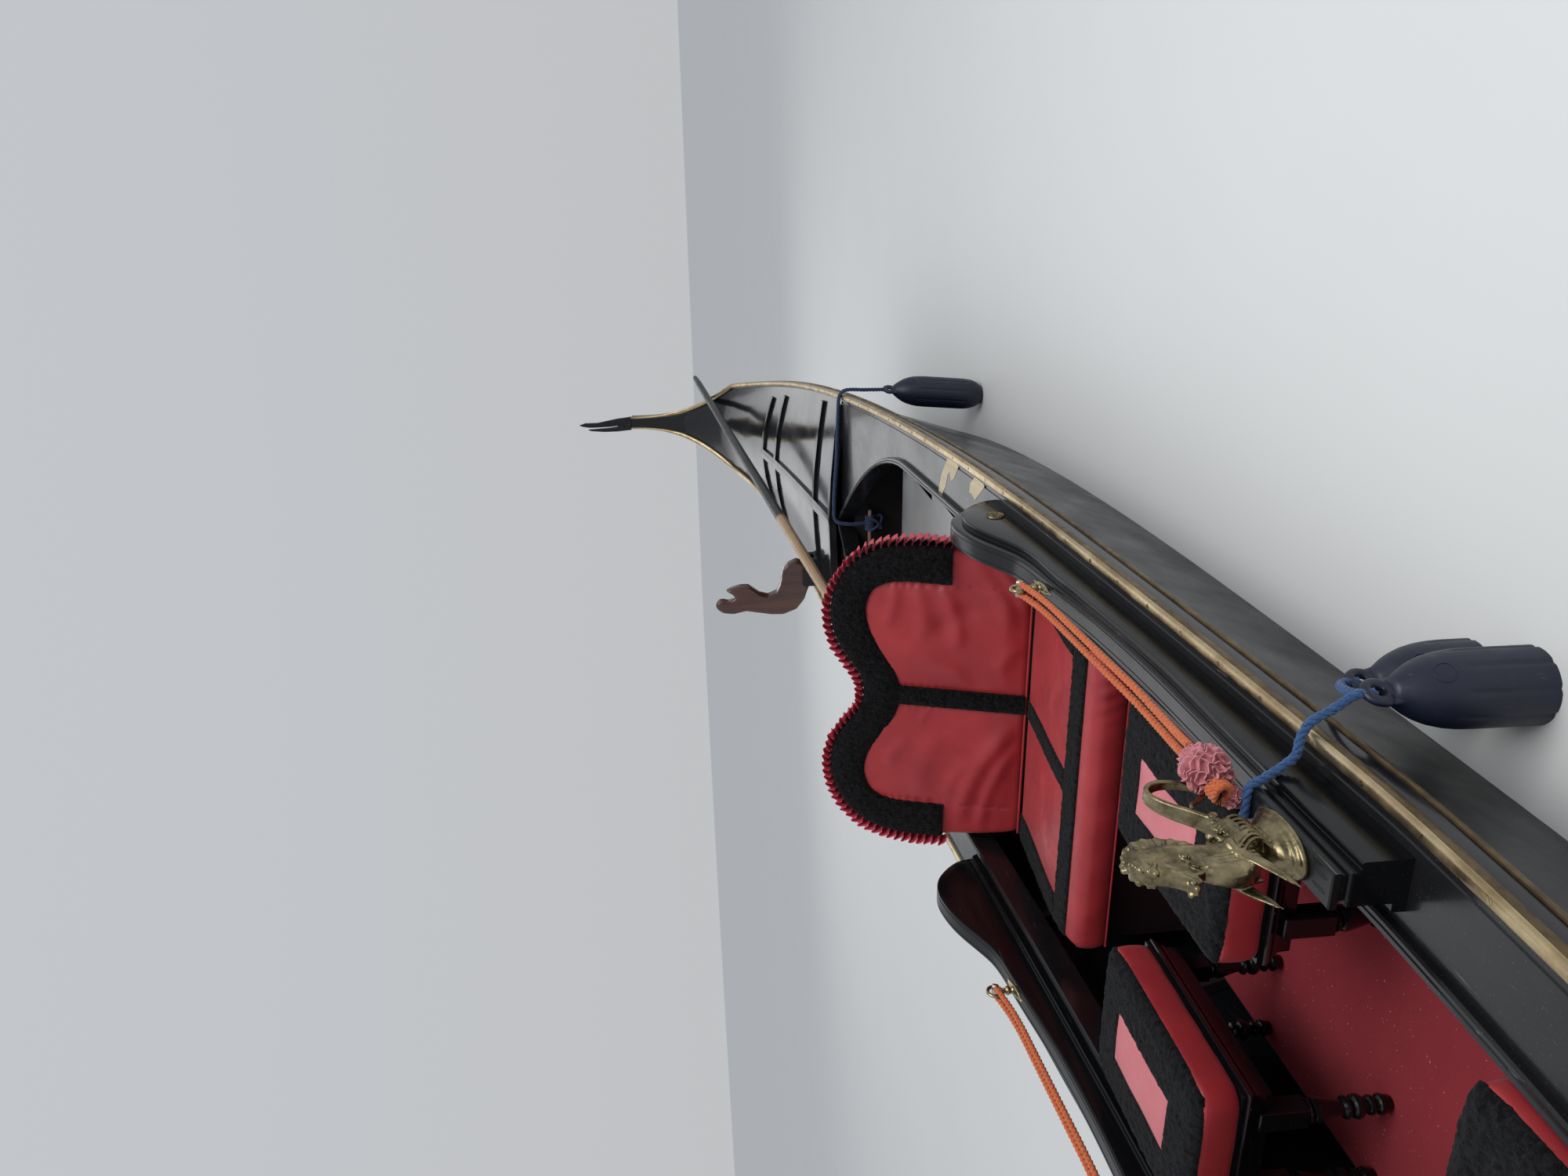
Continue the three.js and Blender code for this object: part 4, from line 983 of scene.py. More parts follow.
def horse_body(form):
    bar(form, [(-0.03, 0, 0.036, 0.017), (-0.012, 0, 0.05, 0.027), (0.006, 0, 0.068, 0.031),
               (0.022, 0, 0.088, 0.029), (0.03, 0, 0.108, 0.024), (0.026, 0, 0.135, 0.02),
               (0.02, 0, 0.165, 0.0185), (0.02, 0, 0.195, 0.02), (0.03, 0, 0.222, 0.022),
               (0.04, 0, 0.238, 0.019)], 0.86, 18)
    bar(form, [(0.04, 0, 0.075, 0.012), (0.062, 0, 0.085, 0.018), (0.076, 0, 0.105, 0.0185),
               (0.074, 0, 0.13, 0.015), (0.064, 0, 0.152, 0.011), (0.056, 0, 0.166, 0.008)], 1.15, 16)
    throat = [(0.018, 0.14), (0.062, 0.142), (0.078, 0.16), (0.08, 0.18), (0.06, 0.205), (0.03, 0.225)]
    plate(form, throat, -0.0085, 0.0085)
    breast = [(0.034, 0.16), (0.066, 0.158), (0.08, 0.14), (0.088, 0.112), (0.086, 0.088), (0.074, 0.07),
              (0.056, 0.058), (0.03, 0.06)]
    plate(form, breast, -0.014, 0.014)
    for k in range(5):
        low, high = (0.04 + 0.009 * k, 0.064), (0.05 + 0.005 * k, 0.15)
        pair(form, [(low[0], 0.0145, low[1], 0.003), (low[0] + 0.004, 0.0155, 0.105, 0.0034),
                    (high[0], 0.0135, high[1], 0.0022)])
    for k in range(7):
        t = k / 6
        x, z = lerp(-0.034, 0.03, t), lerp(0.052, 0.046, t)
        pair(form, [(x + 0.006, 0.01, z - 0.018, 0.003), (x - 0.002, 0.0265, z + 0.004, 0.0036),
                    (x + 0.004, 0.0285, z + 0.022, 0.0034), (x + 0.018, 0.022, z + 0.04, 0.0026)])
    for k in range(9):
        angle = radians(28 + 16 * k)
        pair(form, [(-0.004, 0.027, 0.07, 0.0025),
                    (-0.004 + 0.019 * cos(angle), 0.03, 0.07 + 0.018 * sin(angle), 0.0036),
                    (-0.004 + 0.03 * cos(angle), 0.025, 0.07 + 0.029 * sin(angle), 0.0026)])


def horse_head(form):
    bar(form, [(0.018, 0, 0.236, 0.019), (0.04, 0, 0.243, 0.0185), (0.058, 0, 0.24, 0.0165),
               (0.068, 0, 0.226, 0.0135), (0.076, 0, 0.209, 0.0118), (0.086, 0, 0.192, 0.012),
               (0.096, 0, 0.18, 0.0118)], 0.95, 16)
    bar(form, [(0.034, 0, 0.218, 0.015), (0.054, 0, 0.205, 0.0135), (0.068, 0, 0.19, 0.0105),
               (0.08, 0, 0.176, 0.0088), (0.088, 0, 0.168, 0.0065)], 0.8, 12)
    pair(form, [(0.072, 0.014, 0.24, 0.003), (0.064, 0.0165, 0.229, 0.0034), (0.054, 0.0165, 0.226, 0.003)])
    pair(form, [(0.06, 0.0135, 0.222, 0.0026), (0.071, 0.0135, 0.207, 0.003), (0.081, 0.0125, 0.192, 0.0026)])
    for y in (-1, 1):
        for x, z, size in ((0.062, 0.249, 0.0082), (0.05, 0.255, 0.007), (0.073, 0.231, 0.0066),
                           (0.102, 0.187, 0.0062), (0.1, 0.176, 0.0052), (0.066, 0.219, 0.0045)):
            blob(form, (x, y * 0.0105, z), (size, size * 0.8, size * 0.85))
        for x, z, radius in ((0.06, 0.163, 0.0085), (0.046, 0.158, 0.007), (0.036, 0.17, 0.0055)):
            curl(form, (x, y * 0.0125, z), radius, 0.0034)
        for k in range(4):
            blob(form, (0.036 - 0.011 * k, y * 0.0075, 0.262 - 0.0022 * k * k), (0.0062, 0.0055, 0.006))
    blob(form, (0.108, 0, 0.182), (0.0055, 0.0085, 0.0055))


def horse_mane(form):
    outline = [(0.046, 0.236), (0.036, 0.258), (0.022, 0.262), (0.008, 0.257), (-0.003, 0.251),
               (-0.01, 0.24), (-0.019, 0.234), (-0.019, 0.222), (-0.027, 0.213), (-0.022, 0.201),
               (-0.027, 0.19), (-0.019, 0.18), (-0.021, 0.168), (-0.012, 0.16), (-0.011, 0.149),
               (-0.001, 0.143), (0.006, 0.128), (0.02, 0.13), (0.03, 0.18)]
    plate(form, outline, -0.0055, 0.0055)
    for x, z in outline[3:16:2]:
        pair(form, [(0.03, 0.006, lerp(z, 0.205, 0.75), 0.003),
                    (lerp(x, 0.03, 0.5), 0.0075, lerp(z, 0.205, 0.4), 0.0038), (x + 0.001, 0.0045, z, 0.003)])


def horse_wings(form):
    for y, fore, low, root in ((1, 0.137, 0.042, 0.1), (-1, 0.146, 0.07, 0.116)):
        line = [(0.03, y * 0.017, root, 0.006), (0.058, y * 0.021, lerp(root, low, 0.22), 0.0125),
                (0.092, y * 0.021, lerp(root, low, 0.55), 0.012),
                (0.118, y * 0.018, lerp(root, low, 0.8), 0.008), (fore, y * 0.014, low, 0.0022)]
        bar(form, line, 0.3, 12)
        for shift in (-0.006, 0.0, 0.006):
            rib = [(a, b + y * 0.0028, c + shift * r / 0.012, 0.0017) for a, b, c, r in line[:-1]]
            bar(form, rib, sides=6)
        shoulder = [(0.012, y * 0.022, 0.086, 0.006), (0.028, y * 0.023, 0.098, 0.0085),
                    (0.046, y * 0.019, 0.092, 0.006)]
        bar(form, shoulder, 0.6, 10)


def horse_tail(form):
    rows = [(-0.022, 0, 0.062, 0.02), (-0.05, 0, 0.082, 0.0165), (-0.078, 0, 0.106, 0.015),
            (-0.104, 0, 0.131, 0.014), (-0.13, 0, 0.148, 0.0125), (-0.154, 0, 0.152, 0.011),
            (-0.174, 0, 0.14, 0.01), (-0.184, 0, 0.118, 0.009), (-0.181, 0, 0.094, 0.0078),
            (-0.172, 0, 0.074, 0.0064), (-0.158, 0, 0.056, 0.0045)]
    path, table, thick, rings = curve([row[:3] for row in rows], 0.003), swelling(rows), 0.0052, []
    shape = [(1, 0.55), (1.02, 0), (1, -0.55), (0.75, -1), (0, -0.8), (-0.75, -1), (-1, -0.55), (-1.02, 0),
             (-1, 0.55), (-0.8, 1), (-0.62, 0.75), (0, 1.0), (0.62, 0.75), (0.8, 1)]
    for i, (p, side, rise) in enumerate(frames(path)):
        wide = between(i / (len(path) - 1), table)
        rings.append([p + side * (wide * a) + rise * (thick * b) for a, b in shape])
    form.loft(rings)
    bar(form, [(-0.158, 0, 0.056, 0.005), (-0.142, 0, 0.06, 0.0055), (-0.128, 0, 0.076, 0.005),
               (-0.118, 0, 0.09, 0.004), (-0.108, 0, 0.094, 0.003)], 0.9)
    for y in (-0.0195, 0.0195):
        for x, z, radius in ((0.004, 0.1, 0.0095), (-0.018, 0.095, 0.0085), (-0.036, 0.09, 0.0085),
                             (-0.054, 0.084, 0.007)):
            curl(form, (x, y, z), radius, 0.0038)


def make_horses():
    for side, sign in SIDES:
        form = Form()
        for build in (horse_base, horse_body, horse_head, horse_mane, horse_wings, horse_tail):
            build(form)
        foot = SLAB["top"] + GAP
        form.points = [Vector((HORSE_X + p.x, sign * (RAIL_Y + p.y), foot + p.z)) for p in form.points]
        form.fused(f"brass_horse_{side}", "brass", HORSE_BRASS, [f"sea_horse_{side}"], 0.0019, 1)


# Pompoms of ruffled ribbon
def ruffles(form, centre, long, wide, count, seed):
    """Wavy discs of ribbon, one behind the other."""
    dice, aside = random.Random(seed), Vector((0.0012, 0, 0))
    for r in range(count):
        polar = pi * (r + 0.6) / (count + 0.2)
        waves, radial = [[(dice.randint(low, high), dice.random() * 6.3) for low, high in spans]
                         for spans in (((5, 8), (9, 13)), ((7, 12), (15, 23)))]
        around, section = max(40, int(150 * sin(polar))), []
        for k, (c, s) in enumerate(circle(around)):
            a = 2 * pi * k / around
            slow, fast = (sin(n * a + start) for n, start in waves)
            here = polar + (0.6 * slow + 0.4 * fast) * 2.3 / count
            reach = 0.93 + 0.0375 * sum(sin(n * a + start) for n, start in radial)
            out = Vector((long * cos(here), wide * sin(here) * c, wide * sin(here) * s))
            lean = Vector((0.035 * long * sin(5 * a + r), 0, 0))
            root, rim = centre + out * 0.62, centre + out * reach + lean
            section.append([root - aside, rim - aside, rim + aside, root + aside])
        form.loft(section, loop=True)
    return form


def make_pompoms():
    long, wide = POMPOM["long"], POMPOM["wide"]
    for side, sign in SIDES:
        middle = Vector((POMPOM["x"], sign * (RAIL_Y + POMPOM["y"]), POMPOM["z"]))
        ball = blob(Form(), middle, (long * 0.72, wide * 0.72, wide * 0.72), 24)
        ruffles(ball, middle, long, wide, 13, 11 if sign > 0 else 12)
        ball.piece(f"ribbon_pompom_{side}", "pompom", RIBBON, [f"pompom_{side}"], 60)
        small = middle + Vector((0.052, -sign * 0.022, -0.02))
        tuft = blob(Form(), small, (0.016, 0.016, 0.014), 16)
        ruffles(tuft, small, 0.024, 0.021, 6, 21 if sign > 0 else 22)
        tuft.piece(f"ribbon_tuft_{side}", "pompom", RIBBON, sharp=60)
        knot, start = Form(), middle + Vector((0.046, -sign * 0.008, -0.002))
        for turn in range(3):
            angles = [pi * k / 7 for k in range(15)]
            loop = [start + Vector((0.009 * turn + 0.004 * cos(a), sign * 0.015 * cos(a + turn * 0.5),
                                    0.015 * sin(a + turn * 0.5) + 0.003)) for a in angles]
            laid_rope(knot, curve(loop, 0.004), 0.0068, 0.022, 0.003)
        knot.piece(f"rope_knot_{side}", "orange_rope", ORANGE, sharp=60)
        wire, tail = Form(), Vector((HORSE_X - 0.055, sign * RAIL_Y, SLAB["top"] + 0.078))
        for lift in (0.0, 0.006, 0.012):
            line = [start + Vector((0.018, 0, 0.004)), start.lerp(tail, 0.6) + Vector((0, 0, lift - 0.004)),
                    tail + Vector((0, sign * lift, lift))]
            wire.rod(curve(line, 0.003), 0.0009, 6)
        wire.piece(f"tie_wire_{side}", "black_iron", IRON)


# Fenders: ribbed vinyl bodies with a lug and a hole for the rope; each has its top and its foot
FENDERS = (("aft", (-3.06, 0.612, 0.419), (-3.06, 0.572, -0.02)),
           ("fore", (0.375, 0.768, 0.272), (0.375, 0.762, -0.168)),
           ("mid", (0.23, 0.716, 0.205), (0.23, 0.713, -0.235)))
FENDER_RADIUS, FENDER_LENGTH = 0.067, 0.44


def fender(radius, length):
    """The body hangs down from the origin; its lug faces outboard."""
    form = Form()
    rows = [(0.05, 0.3), (0.06, 0.37), (0.082, 0.47), (0.11, 0.6), (0.145, 0.73), (0.19, 0.85),
            (0.245, 0.94), (0.3, 0.985), (0.36, 1.0), (0.72, 1.0), (0.78, 0.985), (0.84, 0.93),
            (0.89, 0.82), (0.935, 0.62), (0.965, 0.45), (0.995, 0.4), (1.0, 0.3)]
    ribs, sides = 9, 126
    rings = []
    for i in range(67):
        t = lerp(0.05, 1.0, i / 66)
        dip = 0.04 * smooth((t - 0.25) / 0.05) * smooth((0.8 - t) / 0.05)
        ring = []
        for k, (c, s) in enumerate(circle(sides)):
            size = radius * between(t, rows) * (1 - dip * max(0, cos(ribs * 2 * pi * k / sides)) ** 6)
            ring.append((size * c, size * s, -length * t))
        rings.append(ring)
    form.loft(rings)
    hole = thick = radius * 0.15
    eye_z = -radius * 0.06
    form.hoop(Vector((0, 0, eye_z)), hole + thick, thick, 36, 0.85)
    web = []
    for t, wide, deep in ((0.0, 0.36, 0.1), (0.15, 0.42, 0.13), (0.45, 0.43, 0.17), (0.75, 0.44, 0.26),
                          (1.0, 0.46, 0.36), (1.2, 0.48, 0.46)):
        z = lerp(eye_z - hole * 1.05, -length * 0.082, t)
        web.append([(radius * wide * c, radius * deep * s, z) for c, s in circle(32)])
    form.loft(web)
    seal = []
    for c, s in circle(48):
        angle, t = 0.3 * s + pi / 2 - 0.25, 0.2 + 0.038 * c
        size = radius * between(t, rows) * 1.003
        seal.append(Vector((size * cos(angle), size * sin(angle), -length * t)))
    return form.rod(seal + seal[:1], radius * 0.016, 8)


def make_fenders():
    for place, top, low in FENDERS:
        form = fender(FENDER_RADIUS, FENDER_LENGTH)
        down = (Vector(low) - Vector(top)).normalized()
        turn = Vector((0, 0, -1)).rotation_difference(down).to_matrix() @ Matrix.Rotation(-0.35, 3, "Z")
        form.points = [Vector(top) + turn @ p for p in form.points]
        form.piece(f"ribbed_fender_{place}", "fender_navy", NAVY, [f"fender_{place}"], 50)


# Upholstery
def fur(p, lift=1.0):
    """How far a plush surface rises at a point: soft clumps over a finer pile."""
    big = noise.noise(p * 55) * 0.0022
    return lift * (big + noise.noise(p * 130 + Vector((7, 3, 1))) * 0.0022 + noise.noise(p * 300) * 0.0013)


def fold(u, v, start, end, wide, high):
    """A crease or ridge along a line, fading out at its ends."""
    du, dv = end[0] - start[0], end[1] - start[1]
    length = hypot(du, dv)
    along = ((u - start[0]) * du + (v - start[1]) * dv) / length ** 2
    bow = 0.08 * length * sin(pi * clamp(along))
    off = ((u - start[0]) * dv - (v - start[1]) * du) / length + bow
    fade = smooth((along + 0.1) / 0.35) * smooth((1.1 - along) / 0.35)
    return high * fade * exp(-(off / wide) ** 2)


LEAN = 0.338
SEAT_FOOT = Vector((-1.14, 0, 0.339))
BACK_OUTLINE = [(0, 0.512), (0.05, 0.522), (0.11, 0.563), (0.174, 0.603), (0.262, 0.62), (0.35, 0.603),
                (0.43, 0.55), (0.48, 0.475), (0.5, 0.38), (0.5, 0.26), (0.49, 0.15), (0.476, 0.06),
                (0.462, 0)]
PANEL_OUTLINE = [(0, 0.398), (0.03, 0.4), (0.08, 0.415), (0.15, 0.46), (0.22, 0.497), (0.285, 0.508),
                 (0.345, 0.487), (0.372, 0.445), (0.38, 0.4), (0.38, 0.32), (0.378, 0.247)]


def on_back(y, v, n):
    """A point of the leaning back: across, up along the lean, and out of it."""
    return SEAT_FOOT + Vector((-v * sin(LEAN) + n * cos(LEAN), y, v * cos(LEAN) + n * sin(LEAN)))


def flat_curve(points, spacing):
    return [(p.x, p.y) for p in curve([(a, b, 0) for a, b in points], spacing)]


def evenly(points, count):
    line = [Vector((a, b, 0)) for a, b in points]
    return [(p.x, p.y) for p in resample(line, line_length(line) / count)][:count + 1]


def mirrored(half):
    """A line over both halves of the back, from the half that starts in the middle."""
    return [(-y, v) for y, v in reversed(half)] + half[1:]


def back_red(y, v):
    """How far the red of the back stands out."""
    side, across = (1 if y > 0 else -1), abs(y)
    swell = 0.016 * sin(pi * clamp((across - 0.03) / 0.345)) ** 0.6 if across < 0.375 else 0.004
    swell *= smooth(v / 0.09) * smooth((0.6 - v) / 0.2)
    out = swell + 0.004 * exp(-((v - 0.245) / 0.02) ** 2) * (across > 0.36)
    if side < 0:
        folds = [((-0.43, 0.2), (-0.07, 0.035), 0.03, 0.012), ((-0.47, 0.13), (-0.13, 0.015), 0.02, 0.007),
                 ((-0.37, 0.33), (-0.12, 0.27), 0.04, 0.0075), ((-0.25, 0.44), (-0.15, 0.36), 0.022, 0.0065),
                 ((-0.36, 0.24), (-0.2, 0.17), 0.022, 0.005), ((-0.09, 0.33), (-0.045, 0.3), 0.01, 0.0026)]
    else:
        folds = [((0.16, 0.42), (0.06, 0.18), 0.032, 0.01), ((0.37, 0.42), (0.22, 0.45), 0.02, 0.005),
                 ((0.37, 0.36), (0.19, 0.33), 0.028, 0.007), ((0.37, 0.28), (0.17, 0.22), 0.026, 0.0095),
                 ((0.46, 0.2), (0.25, 0.06), 0.03, 0.009), ((0.22, 0.29), (0.31, 0.16), 0.03, -0.006),
                 ((0.44, 0.12), (0.3, 0.02), 0.018, 0.0055), ((0.1, 0.1), (0.2, 0.03), 0.024, 0.005)]
    out += sum(fold(y, v, *row) for row in folds)
    tucks = 0.0022 * sin(v * 210 + 2 * sin(v * 31)) * exp(-((0.376 - across) / 0.014) ** 2)
    tucks += 0.0012 * sin(v * 260 + side) * exp(-((across - 0.034) / 0.01) ** 2)
    return out + tucks * smooth((v - 0.24) / 0.03) + 0.0012 * noise.noise(Vector((y * 9, v * 9, 4)))


def back_width(v):
    lower = [(b, a) for a, b in reversed(BACK_OUTLINE) if b <= 0.55 and a > 0.4]
    return flowing(v, lower)


def make_back():
    def place(i, k):
        v = 0.006 + 0.504 * i
        wide = back_width(v) - 0.004
        return wide * (2 * k - 1), v, min(1, (wide - abs(wide * (2 * k - 1))) / 0.02)

    def front(i, k):
        y, v, edge = place(i, k)
        n = -0.01 + back_red(y, v) - 0.02 * (1 - edge) ** 2.2
        return on_back(y, v, n - 0.01 * (1 - min(1, 22.5 * i)) ** 2)

    def behind(i, k):
        return on_back(*place(i, k)[:2], -0.066)

    red = Form().pad(sheet(90, 144, front), sheet(90, 144, behind))
    red.rod([on_back(lerp(-0.455, 0.455, k / 60), 0.008, -0.006) for k in range(61)], 0.004)
    back = red.piece("back_red", "red_vinyl", RED, ["seat_back_cushion"], 60)
    make_back_band()
    make_frill()


def make_back_band():
    """The plush border: a closed horseshoe with a strip down the middle."""
    rim = [q for q in flat_curve(BACK_OUTLINE, 0.006) if not (q[0] > 0.3 and q[1] < 0.247)]
    outer, inner = mirrored(evenly(rim, 190)), mirrored(evenly(flat_curve(PANEL_OUTLINE, 0.006), 190))
    last = len(outer) - 1

    def across(i, t):
        (y0, v0), (y1, v1) = inner[round(i * last)], outer[round(i * last)]
        return lerp(y0, y1, t), lerp(v0, v1, t)

    def front(i, t):
        y, v = across(i, t)
        ends = 0.75 + 0.25 * min(1, min(i, 1 - i) * last / 4)
        puff = 0.017 * ends * sin(pi * min(0.985, max(0.015, t))) ** 0.35
        n = -0.004 + puff - 0.012 * max(0, (t - 0.9) / 0.1) ** 2
        return on_back(y, v, n + fur(Vector((y, v, 0)), 1.2))

    def strip(i, t):
        v = lerp(0.01, 0.44, i)
        y = 0.03 * (2 * t - 1) * (1 + 0.05 * noise.noise(Vector((v * 90, t > 0.5, 2))))
        n = 0.003 + 0.007 * (1 - (2 * t - 1) ** 4) + 0.012 * max(0, v - 0.4) / 0.04
        return on_back(y, v, n + fur(Vector((y, v, 3))))

    band = Form().pad(sheet(last, 30, front), sheet(last, 30, lambda i, t: on_back(*across(i, t), -0.064)))
    band.pad(sheet(140, 18, strip),
             sheet(140, 18, lambda i, t: on_back(lerp(-0.029, 0.029, t), lerp(0.01, 0.44, i), -0.03)))
    piece = band.piece("back_plush", "red_vinyl", PLUSH, sharp=75)


def make_frill():
    """Knife pleats of red satin over the rim of the back."""
    path = [Vector((y, v, 0)) for y, v in
            mirrored([q for q in flat_curve(BACK_OUTLINE, 0.004) if not (q[0] > 0.3 and q[1] < 0.225)])]
    total = line_length(path)
    pleats = round(total / 0.0235)
    line = resample(path, total / pleats / 10)
    last = len(line) - 1
    depths = [(0.0135, 1.25), (0.0105, 1.18), (0.003, 1.05), (-0.008, 0.95), (-0.02, 0.9), (-0.032, 0.92),
              (-0.043, 1.0), (-0.048, 1.05)]
    profile = [(0, 0.003), (0.1, 0.008), (0.3, 0.013), (0.55, 0.0165), (0.8, 0.0195), (1, 0.0215),
               (1.16, 0.022), (1.2, 0.02), (1.06, 0.014), (0.92, 0.0065)]
    outside, inside = [[] for _ in depths], [[] for _ in depths]
    for j in range(pleats):
        for share, high in profile:
            where = min(last - 0.001, (j + share) * 10)
            i = int(where)
            at = line[i].lerp(line[i + 1], where - i)
            ahead = (line[min(i + 2, last)] - line[max(i - 1, 0)]).normalized()
            out = Vector((-ahead.y, ahead.x, 0))
            wobble = noise.noise(Vector((j * 1.7, share, 0)))
            for (n, flare), skin, lining in zip(depths, outside, inside):
                rise = high * flare * (1 + 0.25 * wobble) + 0.0008 * sin(360 * n + j)
                skew = 0.0035 * sin((n + 0.02) * 60 + wobble)
                p = at + out * (rise - 0.002) + ahead * skew
                q = at + out * (rise - 0.0032) + ahead * (skew - 0.0004)
                skin.append(on_back(p.x, p.y, n))
                lining.append(on_back(q.x, q.y, n))
    Form().pad(outside, inside).piece("back_frill", "red_vinyl", SATIN, sharp=50)


SEAT_LINE = [(-1.135, 0.29), (-1.137, 0.33), (-1.13, 0.3395), (-1.05, 0.347), (-0.95, 0.356),
             (-0.85, 0.3655), (-0.7, 0.377), (-0.62, 0.3775), (-0.575, 0.3745), (-0.551, 0.366),
             (-0.5375, 0.35), (-0.533, 0.33), (-0.533, 0.312), (-0.5365, 0.297), (-0.545, 0.2835)]


def seat_half(x):
    return lerp(0.462, 0.436, clamp((x + 1.14) / 0.6))


def seat_red(x, y):
    across = abs(y)
    swell = 0.007 * sin(pi * clamp((across - 0.032) / 0.334)) ** 0.7 if across < 0.366 else 0
    swell *= smooth((-0.69 - x) / 0.08) * smooth((x + 1.14) / 0.1)
    folds = [((-0.86, 0.1), (-0.78, 0.27), 0.018, 0.008), ((-0.79, 0.26), (-0.87, 0.36), 0.014, 0.005),
             ((-0.93, -0.05), (-0.84, -0.3), 0.02, 0.0065), ((-1.02, -0.3), (-0.92, -0.1), 0.016, 0.005),
             ((-0.98, 0.08), (-1.04, 0.3), 0.018, 0.0045), ((-0.77, -0.33), (-0.83, -0.18), 0.012, 0.0045)]
    out = swell + sum(fold(x, y, *row) for row in folds)
    return out + 0.0008 * noise.noise(Vector((x * 11, y * 11, 8)))


def roll_wrinkle(y, z):
    port = smooth((y - 0.2) / 0.15)
    return 0.0024 * port * sin(y * 150 + z * 60) + 0.001 * sin(y * 47 + z * 30)


def seat_edge(x, y, spare=0):
    """How far a point is from the seat's rounded side edge: 0 on it, 1 where the top is flat."""
    return min(1, (seat_half(x) + spare - abs(y)) / 0.016)


def make_seat():
    rings = []
    for x, z in flat_curve(SEAT_LINE, 0.0065):
        front, top = smooth((x + 0.56) / 0.02), []
        for k in range(127):
            y = seat_half(x) * (2 * k / 126 - 1)
            drop = (1 - seat_edge(x, y)) ** 2
            lift = seat_red(x, y) if x < -0.66 and z > 0.335 else 0
            out = front * (roll_wrinkle(y, z) - 0.008 * drop)
            top.append((x + out, y, z + lift - 0.013 * drop * (1 - front)))
        rings.append(top)
    form = Form().pad(rings, [[(x, y, 0.2835) for x, y, _ in row] for row in rings])
    form.rod([(-0.5375, lerp(-0.432, 0.432, k / 60), 0.284) for k in range(61)], 0.0032, 8)
    seat = form.piece("seat_red", "red_vinyl", RED, ["seat_cushion"], 60)
    plush = Form()
    surface = SEAT_LINE[2:9]

    def strip(x0, x1, low, high, rows, columns):
        """A plush strip whose edges are functions of x."""
        def place(i, k):
            x = lerp(x0, x1, i)
            return x, lerp(low(x), high(x), k), flowing(x, surface)

        def top(i, k):
            x, y, z = place(i, k)
            rim = min(min(k, 1 - k) * (high(x) - low(x)), min(i, 1 - i) * (x1 - x0))
            wobble = 0.0015 * noise.noise(Vector((x * 80, y * 80, 5))) if rim < 0.001 else 0
            z += 0.0075 * min(1, rim / 0.01) ** 0.5 - 0.012 * (1 - seat_edge(x, y, 0.002)) ** 2
            return x + wobble, y + wobble, z + fur(Vector((x, y, 0))) * min(1, rim / 0.004)

        def base(i, k):
            x, y, z = place(i, k)
            return x, y, z - 0.012
        plush.pad(sheet(rows, columns, top), sheet(rows, columns, base))

    def rim(x):
        return seat_half(x) + 0.001
    strip(-0.688, -0.594, lambda x: -rim(x), rim, 26, 240)
    strip(-1.13, -0.68, lambda x: -0.031, lambda x: 0.031, 120, 17)
    strip(-1.13, -0.684, lambda x: 0.366, rim, 120, 24)
    strip(-1.13, -0.684, lambda x: -rim(x), lambda x: -0.366, 120, 24)
    band = plush.piece("seat_plush", "red_vinyl", PLUSH, sharp=75)


# Stools: each has its place, and the middle of its cushion
STOOL_HALF_X, STOOL_HALF_Y = 0.249, 0.1785
STOOLS = (("starboard_aft", 0.044, -0.324), ("port_aft", 0.02, 0.321), ("port_fore", 1.15, 0.321),
          ("starboard_fore", 1.15, -0.321))
CARPET_TOP = 0.003


def rounded(half_x, half_y, radius, steps=8):
    """A rectangle with rounded corners, as (x, y) points."""
    ring = []
    for corner, (cx, cy) in enumerate(((1, 1), (-1, 1), (-1, -1), (1, -1))):
        for k in range(steps + 1):
            a = pi / 2 * (corner + k / steps)
            ring.append((cx * (half_x - radius) + radius * cos(a), cy * (half_y - radius) + radius * sin(a)))
    return ring


def ring_at(x, y, z, *size):
    return [(x + a, y + b, z) for a, b in rounded(*size)]


